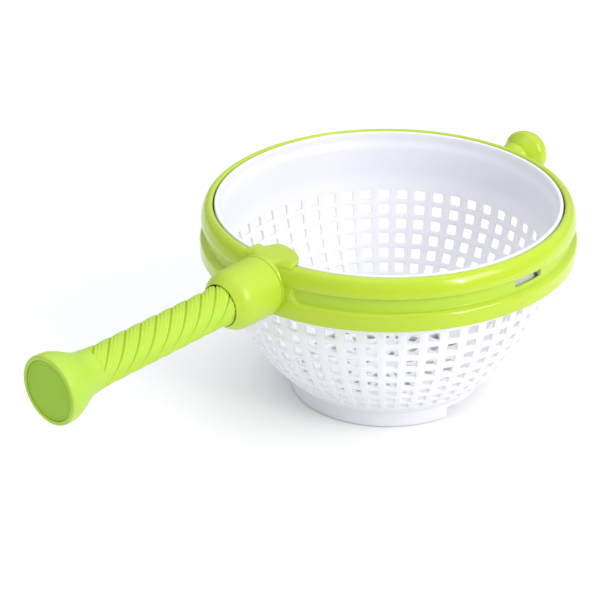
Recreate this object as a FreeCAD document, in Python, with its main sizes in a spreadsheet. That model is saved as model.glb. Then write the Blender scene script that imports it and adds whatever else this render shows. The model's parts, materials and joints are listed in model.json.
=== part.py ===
import FreeCAD, Part
import math
import os
import re

import Sketcher

# Hand-held salad spinner: a perforated basket that spins on a caged ball race inside a two-part
# ring, driven by twisting the handle.  The twist goes through a planetary step-up in the hub and a
# pinion that meshes with a crown gear round the basket.
#
# Frame: origin on the basket's axis at the plane of its foot, +Z up, handle towards -X.
# Pieces on the handle's axis are drawn in a frame of their own, where Z is the distance out from
# the basket's axis, X is up and Y is the same as the spinner's Y.

SIZES = {
    # basket
    "rim_height": 125.5,
    "lip_radius": 106.0,
    "lip_band": 3.6,
    "lip_round": 0.9,
    "lip_thick": 2.4,
    "lip_flare": 2.6,
    "flare_height": 11.0,
    "wall_thick": 2.2,
    "curve_drop": 23.3,
    "foot_radius": 61.0,
    "foot_height": 9.5,
    "foot_wall": 2.6,
    "foot_gap_angle": 57.0,
    "foot_gap_place": 106.0,
    "floor_height": 6.8,
    "floor_thick": 2.4,
    "hole_columns": 52,
    "hole_share": 0.56,
    "hole_tall": 6.2,
    "row_start": 19.9,
    "row_step": 9.75,
    "row_end": 12.0,
    "floor_edge_gap": 6.2,
    "floor_step": 12.0,
    # ball race
    "axis_drop": 16.0,
    "ball_radius": 3.0,
    "ball_play": 0.15,
    "ball_count": 24,
    "ball_place": 273.4,
    "cage_thick": 2.1,
    "cage_gap": 0.3,
    "pocket_play": 0.2,
    "rib_thick": 1.2,
    "rib_stand": 1.2,
    "rib_gap": 0.4,
    "race_thick": 1.0,
    "race_foot": 0.9,
    "slot_place": 266.5,
    "slot_length": 22.7,
    "slot_play": 0.4,
    "slot_round": 1.4,
    # ring
    "ring_gap": 1.0,
    "tongue_gap": 0.4,
    "shell_thick": 1.5,
    "rim_over": 2.1,
    "ring_rise": 0.5,
    "crown_drop": 9.0,
    "crown_round": 11.8,
    "crown_reach": 5.3,
    "crown_wall": 1.4,
    "inner_drop": 1.6,
    "roof_drop": 2.6,
    "roof_slope": 7.0,
    "seam_step": 0.9,
    "seam_bevel": 1.8,
    "bead_round": 3.0,
    "hem_round": 1.1,
    "edge_round": 1.6,
    "ring_wall": 1.6,
    "tongue": 4.4,
    "pad_rise": 1.8,
    "pad_margin": 3.2,
    "seam_rise": 0.6,
    "plate_thick": 1.6,
    "plate_gap": 0.52,
    "channel_gap": 2.3,
    "shelf_thick": 2.0,
    "boss_step": 1.3,
    "fit": 0.1,
    "press": 0.02,
    # crown gear and pinion
    "crown_teeth": 180,
    "pinion_teeth": 16,
    "crown_gap": 0.3,
    "crown_side_gap": 0.3,
    "crown_face": 2.8,
    "crown_web": 1.4,
    "crown_hub": 3.3,
    "crown_hub_wall": 0.6,
    "lug_count": 8,
    "lug_width": 6.0,
    "lug_tall": 1.0,
    "lug_stand": 0.7,
    "tooth_play": 0.16,
    "pressure_angle": 20.0,
    "pocket_gap": 0.8,
    # planetary set
    "planet_module": 0.75,
    "sun_teeth": 12,
    "planet_teeth": 12,
    "planet_count": 3,
    "gear_face": 6.0,
    "planet_play": 0.09,
    "annulus_rim": 1.2,
    # hub
    "collar_wall": 3.9,
    "collar_length": 5.0,
    "hub_wall": 2.1,
    "hub_taper": 0.7,
    "hub_lip": 3.45,
    "mouth_gap": 0.9,
    "bush_step": 1.0,
    "end_plate": 1.5,
    "carrier_plate": 2.7,
    "bush_length": 6.7,
    "key_count": 3,
    "key_width": 3.0,
    "key_depth": 0.6,
    # shafts, pins and screws
    "shaft_radius": 2.0,
    "shaft_pilot": 1.8,
    "bush_wall": 1.5,
    "bush_boss": 2.0,
    "pin_radius": 1.2,
    "run": 0.07,
    "screw_radius": 1.0,
    "screw_bite": 4.1,
    "head_radius": 2.0,
    "head_sink": 1.2,
    "screw_angle": 40.0,
    "bolt_radius": 1.6,
    "bolt_head": 3.6,
    "bolt_head_tall": 2.4,
    "bolt_length": 11.0,
    # handle
    "core_radius": 7.5,
    "core_bore": 5.2,
    "core_plug": 10.0,
    "sleeve_wall": 1.9,
    "grip_radius": 11.0,
    "grip_length": 107.2,
    "bell_length": 29.7,
    "bell_radius": 20.0,
    "bell_step": 1.3,
    "bell_waist": 1.8,
    "bell_shoulder": 5.7,
    "bell_hollow": 28.0,
    "bell_swell": 25.0,
    "bell_band": 7.0,
    "bell_throat": 4.2,
    "bell_flare": 15.7,
    "bell_crest": 3.0,
    "bell_seat": 9.4,
    "bell_floor": 3.2,
    "bell_lip": 2.7,
    "cap_thick": 1.6,
    "cap_sink": 0.7,
    "cap_ledge": 1.4,
    "washer_radius": 5.5,
    "washer_thick": 0.8,
    # rest knob
    "neck_radius": 8.5,
    "neck_length": 15.4,
    "neck_flare": 2.9,
    "neck_curve": 48.0,
    "knob_radius": 14.4,
    "knob_length": 18.3,
    "knob_round": 10.6,
    "knob_crest": 8.3,
    "knob_brow": 3.4,
    "knob_recess": 8.0,
    "knob_web": 3.0,
    "spigot_radius": 5.0,
    # lobe over the basket's lip
    "lobe_radius": 14.2,
    "lobe_out": 1.35,
    "lobe_side": -3.3,
    "lobe_thick": 1.6,
    "lobe_clear": 0.4,
    "ear_radius": 4.6,
    "ear_spread": 12.9,
    "ear_in": 0.8,
}

# Sizes that follow from the ones above.
RULES = {
    "axis_height": "rim_height - axis_drop",
    "wall_radius": "lip_radius - lip_flare",
    "wall_inside": "wall_radius - wall_thick",
    "curve_height": "rim_height - curve_drop",
    "curve_in": "wall_radius - foot_radius",
    "curve_radius": "(curve_in^2 + (curve_height - foot_height)^2) / (2 * curve_in)",
    "curve_inside": "curve_radius - wall_thick",
    "curve_centre": "wall_radius - curve_radius",
    "floor_top": "floor_height + floor_thick",
    "floor_edge": "curve_centre + sqrt(curve_inside^2 - (curve_height - floor_top)^2)",
    "rib_radius": "wall_radius + rib_stand",
    "rib_near": "ball_radius + rib_gap",
    "rib_far": "rib_near + rib_thick",
    "ball_circle": "wall_radius + ball_play + ball_radius",
    "race_radius": "ball_circle + ball_radius + ball_play",
    "race_outer": "race_radius + race_thick",
    "race_rib": "race_radius - rib_stand",
    "race_base": "axis_height - rib_far - race_foot",
    "race_top": "axis_height + rib_far - fit",
    "cage_inner": "(rib_radius + race_rib - cage_thick) / 2",
    "cage_outer": "cage_inner + cage_thick",
    "cage_half": "rib_far - cage_gap",
    "slot_tall": "2 * ball_radius + slot_play",
    "seat_radius": "race_outer + fit",
    "groove_floor": "seat_radius + ring_wall",
    "rim_inner": "lip_radius + ring_gap",
    "skirt_outer": "seat_radius - tongue_gap",
    "rim_outer": "groove_floor + rim_over",
    "crown_top": "rim_outer - crown_reach",
    "pad_radius": "groove_floor + pad_rise",
    "ring_top": "rim_height + ring_rise",
    "seam_height": "race_top + seam_rise",
    "seam_gap": "fit / 5",
    "crown_inner": "race_outer + crown_gap",
    "crown_outer": "crown_inner + crown_face",
    "crown_pitch": "crown_inner + crown_face / 2",
    "crown_module": "2 * crown_pitch / crown_teeth",
    "pinion_pitch": "crown_module * pinion_teeth / 2",
    "pinion_tip": "pinion_pitch + 0.85 * crown_module",
    "pinion_start": "crown_inner + 2 * fit",
    "mesh_height": "axis_height - pinion_pitch",
    "crown_tip": "mesh_height + 0.75 * crown_module",
    "crown_root": "mesh_height - 1.15 * crown_module",
    "crown_base": "crown_root - crown_web",
    "crown_bore": "wall_radius + fit / 2",
    "crown_hub_radius": "rib_radius + crown_hub_wall",
    "crown_hub_top": "crown_root + crown_hub",
    "stop_height": "crown_hub_top + fit",
    "flange_inner": "crown_outer + crown_side_gap",
    "flange_radius": "flange_inner + shell_thick",
    "plate_top": "crown_base - plate_gap",
    "plate_inner": "rib_radius + race_foot",
    "ring_base": "plate_top - plate_thick",
    "channel_top": "crown_tip + channel_gap",
    "flange_top": "channel_top + shelf_thick",
    "bead_height": "flange_top - sqrt(bead_round^2 - (bead_round - flange_radius + pad_radius)^2)",
    "sun_pitch": "planet_module * sun_teeth / 2",
    "planet_pitch": "planet_module * planet_teeth / 2",
    "planet_circle": "sun_pitch + planet_pitch",
    "annulus_teeth": "sun_teeth + 2 * planet_teeth",
    "annulus_pitch": "sun_pitch + 2 * planet_pitch",
    "annulus_root": "annulus_pitch + 1.25 * planet_module",
    "annulus_clear": "annulus_pitch + 0.9",
    "carrier_radius": "annulus_pitch + 0.2",
    "pocket_radius": "pinion_tip + pocket_gap",
    "collar_radius": "max(pocket_radius + collar_wall; annulus_root + annulus_rim)",
    "boss_radius": "collar_radius + boss_step",
    "boss_start": "skirt_outer + shell_thick",
    "knob_boss": "neck_radius + 1",
    "collar_start": "flange_radius",
    "collar_end": "collar_start + collar_length",
    "hub_bore": "collar_radius + fit",
    "hub_radius": "hub_bore + hub_wall",
    "hub_front": "hub_radius - hub_taper",
    "hub_start": "collar_start + fit",
    "hub_mouth": "grip_radius + mouth_gap",
    "key_inner": "annulus_pitch - 1",
    "key_reach": "hub_bore + key_depth",
    "bearing_start": "crown_outer + 1",
    "bearing_bore": "shaft_radius + bush_wall",
    "bearing_boss": "bearing_bore + bush_boss",
    "plate_end": "collar_end + fit / 2 + end_plate",
    "gear_start": "plate_end + 0.4",
    "gear_end": "gear_start + gear_face",
    "annulus_start": "plate_end + fit / 2",
    "annulus_end": "gear_end + 0.3",
    "carrier_start": "gear_end + 0.5",
    "carrier_end": "carrier_start + carrier_plate",
    "bush_start": "carrier_end + 0.2",
    "bush_end": "bush_start + bush_length",
    "cross_place": "carrier_end + bush_length / 2",
    "bush_outer": "hub_mouth + bush_step",
    "hub_end": "bush_end + fit + hub_lip",
    "sleeve_bore": "core_radius + fit / 2",
    "sleeve_radius": "core_radius + sleeve_wall",
    "grip_start": "bush_end + 0.3",
    "grip_end": "grip_start + grip_length",
    "bell_start": "grip_end + fit",
    "bell_end": "bell_start + bell_length",
    "throat_radius": "grip_radius + bell_waist",
    "shoulder_radius": "grip_radius + bell_shoulder",
    "cap_radius": "bell_radius - bell_lip",
    "cap_top": "bell_end - cap_sink",
    "cap_base": "cap_top - cap_thick",
    "core_end": "grip_end + bell_seat",
    "bolt_pilot": "bolt_radius + fit / 2",
    "bolt_hole": "bolt_radius + 6 * fit",
    "bell_ledge": "core_end + fit + bell_floor",
    "bell_washer": "bell_ledge + fit / 2",
    "core_head": "bell_washer + washer_thick + fit / 2",
    "neck_start": "flange_radius + fit",
    "neck_end": "neck_start + neck_length",
    "knob_start": "neck_end + fit",
    "knob_end": "knob_start + knob_length",
    "neck_rim": "neck_radius + neck_flare",
    "knob_centre": "knob_radius - knob_round",
    "brow_radius": "knob_centre + sqrt(knob_round^2 - (knob_crest - knob_brow)^2)",
    "tip_radius": "knob_centre + sqrt(knob_round^2 - (knob_length - knob_crest)^2)",
    "knob_floor": "knob_end - knob_recess",
    "knob_ledge": "knob_floor - knob_web",
    "knob_head": "knob_floor + fit / 2",
    "spigot_bore": "spigot_radius + fit / 2",
    "spigot_end": "knob_ledge - 1",
    "lobe_base": "rim_height + lobe_clear",
    "lobe_back": "boss_start - 2 * fit",
}

doc = FreeCAD.newDocument("salad_spinner")
sheet = doc.addObject("Spreadsheet::Sheet", "Sizes")
for row, (alias, size) in enumerate(SIZES.items(), start=1):
    sheet.set("A%d" % row, alias)
    sheet.set("B%d" % row, str(size))
    sheet.setAlias("B%d" % row, alias)
doc.recompute()

UPRIGHT = FreeCAD.Placement()
TO_HANDLE = FreeCAD.Rotation(FreeCAD.Vector(0, 1, 0), -90)
TO_KNOB = FreeCAD.Rotation(FreeCAD.Vector(0, 1, 0), 90)
NODES = {}


def rule(text):
    """A rule written with plain names, as an expression on the sheet's cells."""
    def cell(match):
        word = match.group(0)
        if word in RULES:
            return "(%s)" % rule(RULES[word])
        return "Sizes." + word if word in SIZES else word
    return re.sub(r"[A-Za-z_]\w*", cell, text)


def size(text):
    """The number that a rule gives now."""
    return float(sheet.evalExpression(rule(text)))


def bind(thing, **rules):
    """Tie an object's properties to rules; a double underscore stands for a dot."""
    for name, text in rules.items():
        thing.setExpression(name.replace("__", "."), rule(text))
    return thing


def on_axis(thing, turn):
    """Put an object in the frame of the handle or of the knob."""
    thing.Placement = FreeCAD.Placement(FreeCAD.Vector(0, 0, size("axis_height")), turn)
    return bind(thing, Placement__Base__z="axis_height")


def keep(name, thing):
    """Record an object as a finished piece."""
    thing.Label = name
    NODES[name] = thing
    return thing


def arc_between(start, end, radius, bend):
    """The arc from start to end; bend is +1 when it turns left on its way, -1 when it turns right."""
    middle = (start + end) * 0.5
    across = FreeCAD.Vector(start.y - end.y, end.x - start.x, 0)
    reach = math.sqrt(radius ** 2 - (end - start).Length ** 2 / 4)
    centre = middle + across.normalize() * reach * bend
    first, last = (start, end) if bend > 0 else (end, start)
    angles = [math.atan2(p.y - centre.y, p.x - centre.x) for p in (first, last)]
    return Part.ArcOfCircle(Part.Circle(centre, FreeCAD.Vector(0, 0, 1), radius), *angles)


def turned(name, outline, turn=None):
    """A body turned about its own Z from a closed outline of (radius, height) corners.

    A corner may add the radius and the bend of the arc that leads to the next corner.
    """
    body = doc.addObject("PartDesign::Body", name + "_body")
    sketch = body.newObject("Sketcher::SketchObject", name + "_outline")
    plane = [f for f in body.Origin.OriginFeatures if f.Role == "XZ_Plane"][0]
    sketch.AttachmentSupport = (plane, [""])
    sketch.MapMode = "FlatFace"
    corners = [FreeCAD.Vector(size(c[0]), size(c[1]), 0) for c in outline]
    edges, begins = [], []
    for number, corner in enumerate(outline):
        start, end = corners[number], corners[(number + 1) % len(corners)]
        if len(corner) == 2:
            edges.append(Part.LineSegment(start, end))
            begins.append(1)
        else:
            edges.append(arc_between(start, end, size(corner[2]), corner[3]))
            begins.append(1 if corner[3] > 0 else 2)
    sketch.addGeometry(edges)
    rules, constraints = [], []

    def add(text, *facts):
        constraints.append(Sketcher.Constraint(*facts))
        rules.append(text)

    for number, corner in enumerate(outline):
        after = (number + 1) % len(outline)
        add(None, "Coincident", number, 3 - begins[number], after, begins[after])
        for axis, text, line in (("DistanceX", corner[0], -2), ("DistanceY", corner[1], -1)):
            if text == "0":
                add(None, "PointOnObject", number, begins[number], line)
            else:
                add(text, axis, -1, 1, number, begins[number], size(text))
        if len(corner) == 4:
            add(corner[2], "Radius", number, size(corner[2]))
    sketch.addConstraint(constraints)
    for number, text in enumerate(rules):
        if text:
            sketch.setExpression("Constraints[%d]" % number, rule(text))
    spin = body.newObject("PartDesign::Revolution", name + "_turn")
    spin.Profile = sketch
    spin.ReferenceAxis = (sketch, ["V_Axis"])
    spin.Angle = 360
    body.Tip = spin
    return on_axis(body, turn) if turn else body


def rod(name, radius, start, length, turn=TO_HANDLE):
    """A cylinder on the handle's or the knob's axis, from a distance out along it."""
    thing = bind(doc.addObject("Part::Cylinder", name), Radius=radius, Height=length)
    side = -1 if turn == TO_HANDLE else 1
    thing.Placement = FreeCAD.Placement(
        FreeCAD.Vector(side * size(start), 0, size("axis_height")), turn)
    return bind(thing, Placement__Base__x="%d * (%s)" % (side, start),
                Placement__Base__z="axis_height")


def shaped(name, shape, turn=None):
    """An object whose shape is worked out from the sheet's sizes."""
    thing = doc.addObject("Part::Feature", name)
    thing.Shape = shape
    return on_axis(thing, turn) if turn else thing


def cut(name, base, *tools):
    """A piece less its tools, taken off one after another."""
    for number, tool in enumerate(tools):
        result = doc.addObject("Part::Cut", "%s_cut%d" % (name, number))
        result.Base, result.Tool = base, tool
        base = result
    return base


def fuse(name, *pieces):
    """Several shapes grown into one piece."""
    result = doc.addObject("Part::MultiFuse", name + "_fuse")
    result.Shapes = list(pieces)
    result.Refine = True
    return result


def around(shape, count, start=0.0):
    """Copies of a shape spaced evenly about Z, the first one turned by start."""
    copies = []
    for number in range(int(count)):
        copy = shape.copy()
        copy.rotate(FreeCAD.Vector(), FreeCAD.Vector(0, 0, 1), start + 360.0 * number / count)
        copies.append(copy)
    return copies


def outward(radius, length, start, height=0.0):
    """A cylinder along X, from a distance out."""
    return Part.makeCylinder(radius, length, FreeCAD.Vector(start, 0, height), FreeCAD.Vector(1, 0, 0))


def gear_face(teeth, pitch, add, dedend, thin):
    """A flat involute gear outline with one tooth on the X axis, thinned by thin at each flank."""
    angle = math.radians(size("pressure_angle"))
    base = pitch * math.cos(angle)
    start = math.tan(angle) - angle + math.pi / (2 * teeth) - thin / pitch

    def half(radius):
        reach = math.acos(min(1.0, base / radius))
        return start - (math.tan(reach) - reach)

    root, tip = pitch - dedend, pitch + add
    low = max(root, base)
    radii = [low + (tip - low) * step / 5.0 for step in range(6)]
    flank = [(r, half(r)) for r in radii]
    if root < base:
        flank.insert(0, (root, half(base)))
    points = []
    for tooth in range(int(teeth)):
        middle = 2 * math.pi * tooth / teeth
        side = [(r, middle - h) for r, h in flank] + [(r, middle + h) for r, h in reversed(flank)]
        points += [FreeCAD.Vector(r * math.cos(a), r * math.sin(a), 0) for r, a in side]
    return Part.Face(Part.makePolygon(points + points[:1]))


def spur(face, start, length, turned_by=0.0):
    """A gear blank: an outline made thick along Z from a distance out."""
    solid = face.extrude(FreeCAD.Vector(0, 0, length))
    solid.rotate(FreeCAD.Vector(), FreeCAD.Vector(0, 0, 1), turned_by)
    solid.translate(FreeCAD.Vector(0, 0, start))
    return solid


def hole_cutters():
    """The square drain holes: rows down the curved wall and rings across the floor."""
    turn = FreeCAD.Vector(0, 1, 0)
    columns, tall = int(size("hole_columns")), size("hole_tall")
    centre = FreeCAD.Vector(size("curve_centre"), 0, size("curve_height"))
    reach, depth = size("curve_radius - wall_thick / 2"), size("wall_thick") * 3
    sweep = math.asin((size("curve_height") - size("foot_height")) / size("curve_radius"))
    spare = reach * sweep - size("row_start + row_end")
    cutters = []
    for row in range(int(spare / size("row_step")) + 1):
        drop = (size("row_start") + row * size("row_step")) / reach
        radius = centre.x + reach * math.cos(drop)
        wide = 2 * math.pi * radius / columns * size("hole_share")
        hole = Part.makeBox(depth, wide, tall, FreeCAD.Vector(reach - depth / 2, -wide / 2, -tall / 2))
        hole.rotate(FreeCAD.Vector(), turn, math.degrees(drop))
        hole.translate(centre)
        cutters += around(hole, columns)
    step, side = size("floor_step"), size("floor_step * hole_share")
    outermost = size("floor_edge - floor_edge_gap")
    for ring in range(int(outermost / step)):
        radius = outermost - ring * step
        count = columns // 2 if radius > outermost / 2 else columns // 4
        wide = min(side, 2 * math.pi * (radius - side / 2) / count * size("hole_share"))
        hole = Part.makeBox(side, wide, size("floor_thick * 3"),
                            FreeCAD.Vector(radius - side / 2, -wide / 2, size("floor_height - floor_thick")))
        cutters += around(hole, count)
    return Part.makeCompound(cutters)


def make_basket():
    """The perforated bowl with its flared lip, race ribs, gear stop and two-part foot."""
    low, high = "axis_height - rib_far", "axis_height - rib_near"
    low2, high2 = "axis_height + rib_near", "axis_height + rib_far"
    bowl = turned("bowl", [
        ("0", "floor_height"),
        ("foot_radius - foot_wall", "floor_height"),
        ("foot_radius - foot_wall", "0"),
        ("foot_radius", "0"),
        ("foot_radius", "foot_height", "curve_radius", 1),
        ("wall_radius", "curve_height"),
        ("wall_radius", low),
        ("rib_radius", low),
        ("rib_radius", high),
        ("wall_radius", high),
        ("wall_radius", low2),
        ("rib_radius", low2),
        ("rib_radius", high2),
        ("wall_radius", high2),
        ("wall_radius", "rim_height - flare_height"),
        ("lip_radius", "rim_height - lip_band"),
        ("lip_radius", "rim_height - lip_round", "lip_round", 1),
        ("lip_radius - lip_round", "rim_height"),
        ("lip_radius - lip_thick + lip_round", "rim_height", "lip_round", 1),
        ("lip_radius - lip_thick", "rim_height - lip_round"),
        ("wall_inside", "rim_height - flare_height"),
        ("wall_inside", "curve_height", "curve_inside", -1),
        ("floor_edge", "floor_top"),
        ("0", "floor_top"),
    ])
    stop = turned("gear_stop", [
        ("wall_radius - wall_thick / 2", "stop_height"),
        ("rib_radius", "stop_height"),
        ("rib_radius", "stop_height + rib_thick"),
        ("wall_radius - wall_thick / 2", "stop_height + rib_thick"),
    ])
    wide, tall, bite = size("lug_width"), size("lug_tall"), size("wall_thick") * 0.4
    lug = Part.makeBox(bite + size("lug_stand"), wide, tall,
                       FreeCAD.Vector(size("wall_radius") - bite, -wide / 2,
                                      size("crown_base - fit") - tall))
    lugs = shaped("gear_lugs", Part.makeCompound(around(lug, size("lug_count"))))
    gaps = []
    for number in (0, 1):
        gap = doc.addObject("Part::Cylinder", "foot_gap%d" % number)
        gap.Placement.Rotation = FreeCAD.Rotation(
            FreeCAD.Vector(0, 0, 1), size("foot_gap_place - foot_gap_angle / 2") + 180 * number)
        gaps.append(bind(gap, Radius="foot_radius + 10", Height="floor_height + 1",
                         Angle="foot_gap_angle", Placement__Base__z="-1"))
    holes = shaped("drain_holes", hole_cutters())
    keep("basket", cut("basket", fuse("basket", bowl, stop, lugs), gaps[0], gaps[1], holes))


def make_crown_gear():
    """The toothed ring pushed up on the basket's wall, its teeth facing up to the pinion."""
    blank = turned("crown_blank", [
        ("crown_bore", "crown_base"),
        ("crown_outer", "crown_base"),
        ("crown_outer", "crown_tip"),
        ("crown_inner", "crown_tip"),
        ("crown_inner", "crown_root"),
        ("crown_hub_radius", "crown_root"),
        ("crown_hub_radius", "crown_hub_top"),
        ("crown_bore", "crown_hub_top"),
    ])
    slope = math.tan(math.radians(size("pressure_angle")))
    flat = size("crown_pitch") * math.pi / size("crown_teeth") / 2 + size("tooth_play")
    top, low = size("crown_tip + 0.5"), size("crown_root")
    wide = flat + (top - size("mesh_height")) * slope
    thin = flat + (low - size("mesh_height")) * slope
    inner = size("crown_inner") - 1.0
    corners = [(-thin, low), (thin, low), (wide, top), (-wide, top), (-thin, low)]
    wire = Part.makePolygon([FreeCAD.Vector(inner, y, z) for y, z in corners])
    gap = Part.Face(wire).extrude(FreeCAD.Vector(size("crown_face") + 2.0, 0, 0))
    teeth = size("crown_teeth")
    gaps = shaped("tooth_gaps", Part.makeCompound(around(gap, teeth, 180.0 + 180.0 / teeth)))
    keep("crown_gear", cut("crown_gear", blank, gaps))


def make_race():
    """The ball cage, its balls and the hard ring that they run against."""
    centre, count, start = size("axis_height"), size("ball_count"), size("ball_place")
    cage = turned("cage", [
        ("cage_inner", "axis_height - cage_half"),
        ("cage_outer", "axis_height - cage_half"),
        ("cage_outer", "axis_height + cage_half"),
        ("cage_inner", "axis_height + cage_half"),
    ])
    circle, bore = size("ball_circle"), size("ball_radius + pocket_play")
    pocket = outward(bore, 4 * bore, circle - 2 * bore, centre)
    pockets = shaped("ball_pockets", Part.makeCompound(around(pocket, count, start)))
    keep("ball_cage", cut("ball_cage", cage, pockets))
    ball = Part.makeSphere(size("ball_radius"), FreeCAD.Vector(circle, 0, centre))
    keep("bearing_balls", shaped("balls", Part.makeCompound(around(ball, count, start))))
    race = turned("race", [
        ("race_rib", "race_base"),
        ("race_outer", "race_base"),
        ("race_outer", "race_top"),
        ("race_rib", "race_top"),
        ("race_rib", "axis_height + rib_near"),
        ("race_radius", "axis_height + rib_near"),
        ("race_radius", "axis_height - rib_near"),
        ("race_rib", "axis_height - rib_near"),
    ])
    keep("race_ring", cut("race_ring", race, slot_cutter("race_slot", "axis_height + slot_tall / 2")))


def slot_cutter(name, top):
    """The long window through which the balls are loaded into the race, below a height."""
    wide, tall, start = size("slot_length"), size("slot_tall"), size("cage_outer + fit")
    place = FreeCAD.Vector(start, -wide / 2, size(top) - tall)
    window = Part.makeBox(size("pad_radius + 1") - start, wide, tall, place)
    corners = [e for e in window.Edges if abs(e.tangentAt(e.FirstParameter).x) > 0.5]
    window = window.makeFillet(size("slot_round"), corners)
    window.rotate(FreeCAD.Vector(), FreeCAD.Vector(0, 0, 1), size("slot_place"))
    return shaped(name, window)


def groove_cutter():
    """The sunk band round the ring, with round ends at the hub's pad and at the knob's pad."""
    low, high, margin = size("flange_top"), size("seam_height"), size("pad_margin")
    radius, inner = (high - low) / 2, size("groove_floor")
    middle, depth = (low + high) / 2, size("pad_rise") + 4
    far = math.degrees(math.asin((size("hub_radius") + margin + radius) / inner))
    near = math.degrees(math.asin((size("neck_radius") + margin + radius) / inner))
    outline = Part.makePolygon([FreeCAD.Vector(inner, 0, low), FreeCAD.Vector(inner + depth, 0, low),
                                FreeCAD.Vector(inner + depth, 0, high), FreeCAD.Vector(inner, 0, high),
                                FreeCAD.Vector(inner, 0, low)])
    bands = []
    for start, end in ((near, 180 - far), (180 + far, 360 - near)):
        band = Part.Face(outline).revolve(FreeCAD.Vector(), FreeCAD.Vector(0, 0, 1), end - start)
        band.rotate(FreeCAD.Vector(), FreeCAD.Vector(0, 0, 1), start)
        ends = [outward(radius, depth, inner, middle) for _ in range(2)]
        ends[0].rotate(FreeCAD.Vector(), FreeCAD.Vector(0, 0, 1), start)
        ends[1].rotate(FreeCAD.Vector(), FreeCAD.Vector(0, 0, 1), end)
        bands.append(band.fuse(ends))
    return shaped("groove", Part.makeCompound(bands))


def lobe_outline(grow):
    """The plan of the lobe that keeps the basket down: a broad tongue between two small ears."""
    radius, ear = size("lobe_radius") + grow, size("ear_radius") + grow
    back, spread, side = size("lobe_back") + grow, size("ear_spread"), size("lobe_side")
    reach, ear_place = size("lip_radius + lobe_out"), size("lip_radius - ear_in")
    height, start = size("lobe_thick") * 4, size("lobe_base") - grow
    up = FreeCAD.Vector(0, 0, 1)
    plan = Part.makeCylinder(radius, height, FreeCAD.Vector(-reach, side, start), up)
    for step in (-spread, spread):
        place = FreeCAD.Vector(-ear_place, side + step, start)
        plan = plan.fuse(Part.makeCylinder(ear, height, place, up))
    half = spread + ear
    base = Part.makeBox(back - ear_place, 2 * half, height, FreeCAD.Vector(-back, side - half, start))
    plan = plan.fuse(base)
    beyond = Part.makeBox(2 * radius, 4 * half, height,
                          FreeCAD.Vector(-back - 2 * radius, side - 2 * half, start))
    return plan.cut(beyond).removeSplitter()


def make_ring():
    """The ring in two halves, with the plate that closes it from below and the lobe on top."""
    cap = turned("ring_cap", [
        ("rim_inner", "race_top + fit"),
        ("skirt_outer", "race_top + fit"),
        ("skirt_outer", "ring_top - roof_drop"),
        ("crown_top + crown_wall", "ring_top - roof_drop"),
        ("rim_outer - shell_thick", "ring_top - roof_slope"),
        ("rim_outer - shell_thick", "seam_height + seam_gap"),
        ("rim_outer - seam_step", "seam_height + seam_gap"),
        ("rim_outer", "seam_height + seam_bevel"),
        ("rim_outer", "ring_top - crown_drop", "crown_round", 1),
        ("crown_top", "ring_top", "crown_top - rim_inner", 1),
        ("rim_inner", "ring_top - inner_drop"),
    ])
    arch = rod("hub_arch", "boss_radius + fit", "skirt_outer + 0.3", "12")
    knob_arch = rod("knob_arch", "knob_boss + fit", "skirt_outer + 0.3", "12", TO_KNOB)
    seat = shaped("lobe_seat", lobe_outline(size("fit")))
    keep("upper_ring", cut("upper_ring", cap, arch, knob_arch, seat))
    band = turned("ring_band", [
        ("seat_radius", "seam_height + tongue"),
        ("seat_radius", "race_base - fit"),
        ("race_rib + 0.3", "race_base - fit"),
        ("race_rib + 0.3", "channel_top"),
        ("flange_inner", "channel_top"),
        ("flange_inner", "ring_base"),
        ("flange_radius - hem_round", "ring_base", "hem_round", 1),
        ("flange_radius", "ring_base + hem_round"),
        ("flange_radius", "bead_height", "bead_round", 1),
        ("pad_radius", "flange_top"),
        ("pad_radius", "seam_height"),
        ("groove_floor", "seam_height"),
        ("groove_floor", "seam_height + tongue"),
    ])
    length = "flange_radius - boss_start"
    bosses = fuse("bosses", rod("hub_boss", "boss_radius", "boss_start", length),
                  rod("knob_boss", "knob_boss", "boss_start", length, TO_KNOB))
    below = doc.addObject("Part::Cylinder", "under_channel")
    bind(below, Radius="flange_inner", Height="channel_top - ring_base + 10",
         Placement__Base__z="ring_base - 10")
    collar = rod("collar", "collar_radius", "collar_start - 1", "collar_length + 1")
    spigot = rod("spigot", "spigot_radius", "seat_radius + 1", "spigot_end - seat_radius - 1", TO_KNOB)
    pocket = rod("pinion_pocket", "pocket_radius", "race_outer", "collar_end - race_outer + 1")
    pilot = rod("knob_pilot", "bolt_pilot", "spigot_end - bolt_length", "bolt_length + 1", TO_KNOB)
    boss = cut("boss", bosses, below)
    hollowed = cut("band", band, groove_cutter(), slot_cutter("ring_slot", "seam_height"))
    body = fuse("lower_ring", hollowed, boss, collar, spigot)
    pilots = screw_set("collar_pilots", size("screw_radius + fit / 2"), 0, 0)
    keep("lower_ring", cut("lower_ring", body, pocket, pilot, pilots))
    keep("bottom_plate", turned("bottom_plate", [
        ("plate_inner", "ring_base"),
        ("flange_inner - fit", "ring_base"),
        ("flange_inner - fit", "plate_top"),
        ("plate_inner", "plate_top"),
    ]))
    lobe = lobe_outline(0.0)
    span = size("flange_radius")
    top = Part.makeBox(span, span, span, FreeCAD.Vector(-1.5 * span, -span / 2,
                                                       size("lobe_base + lobe_thick")))
    keep("basket_keeper", shaped("keeper", lobe.cut(top)))


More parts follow.
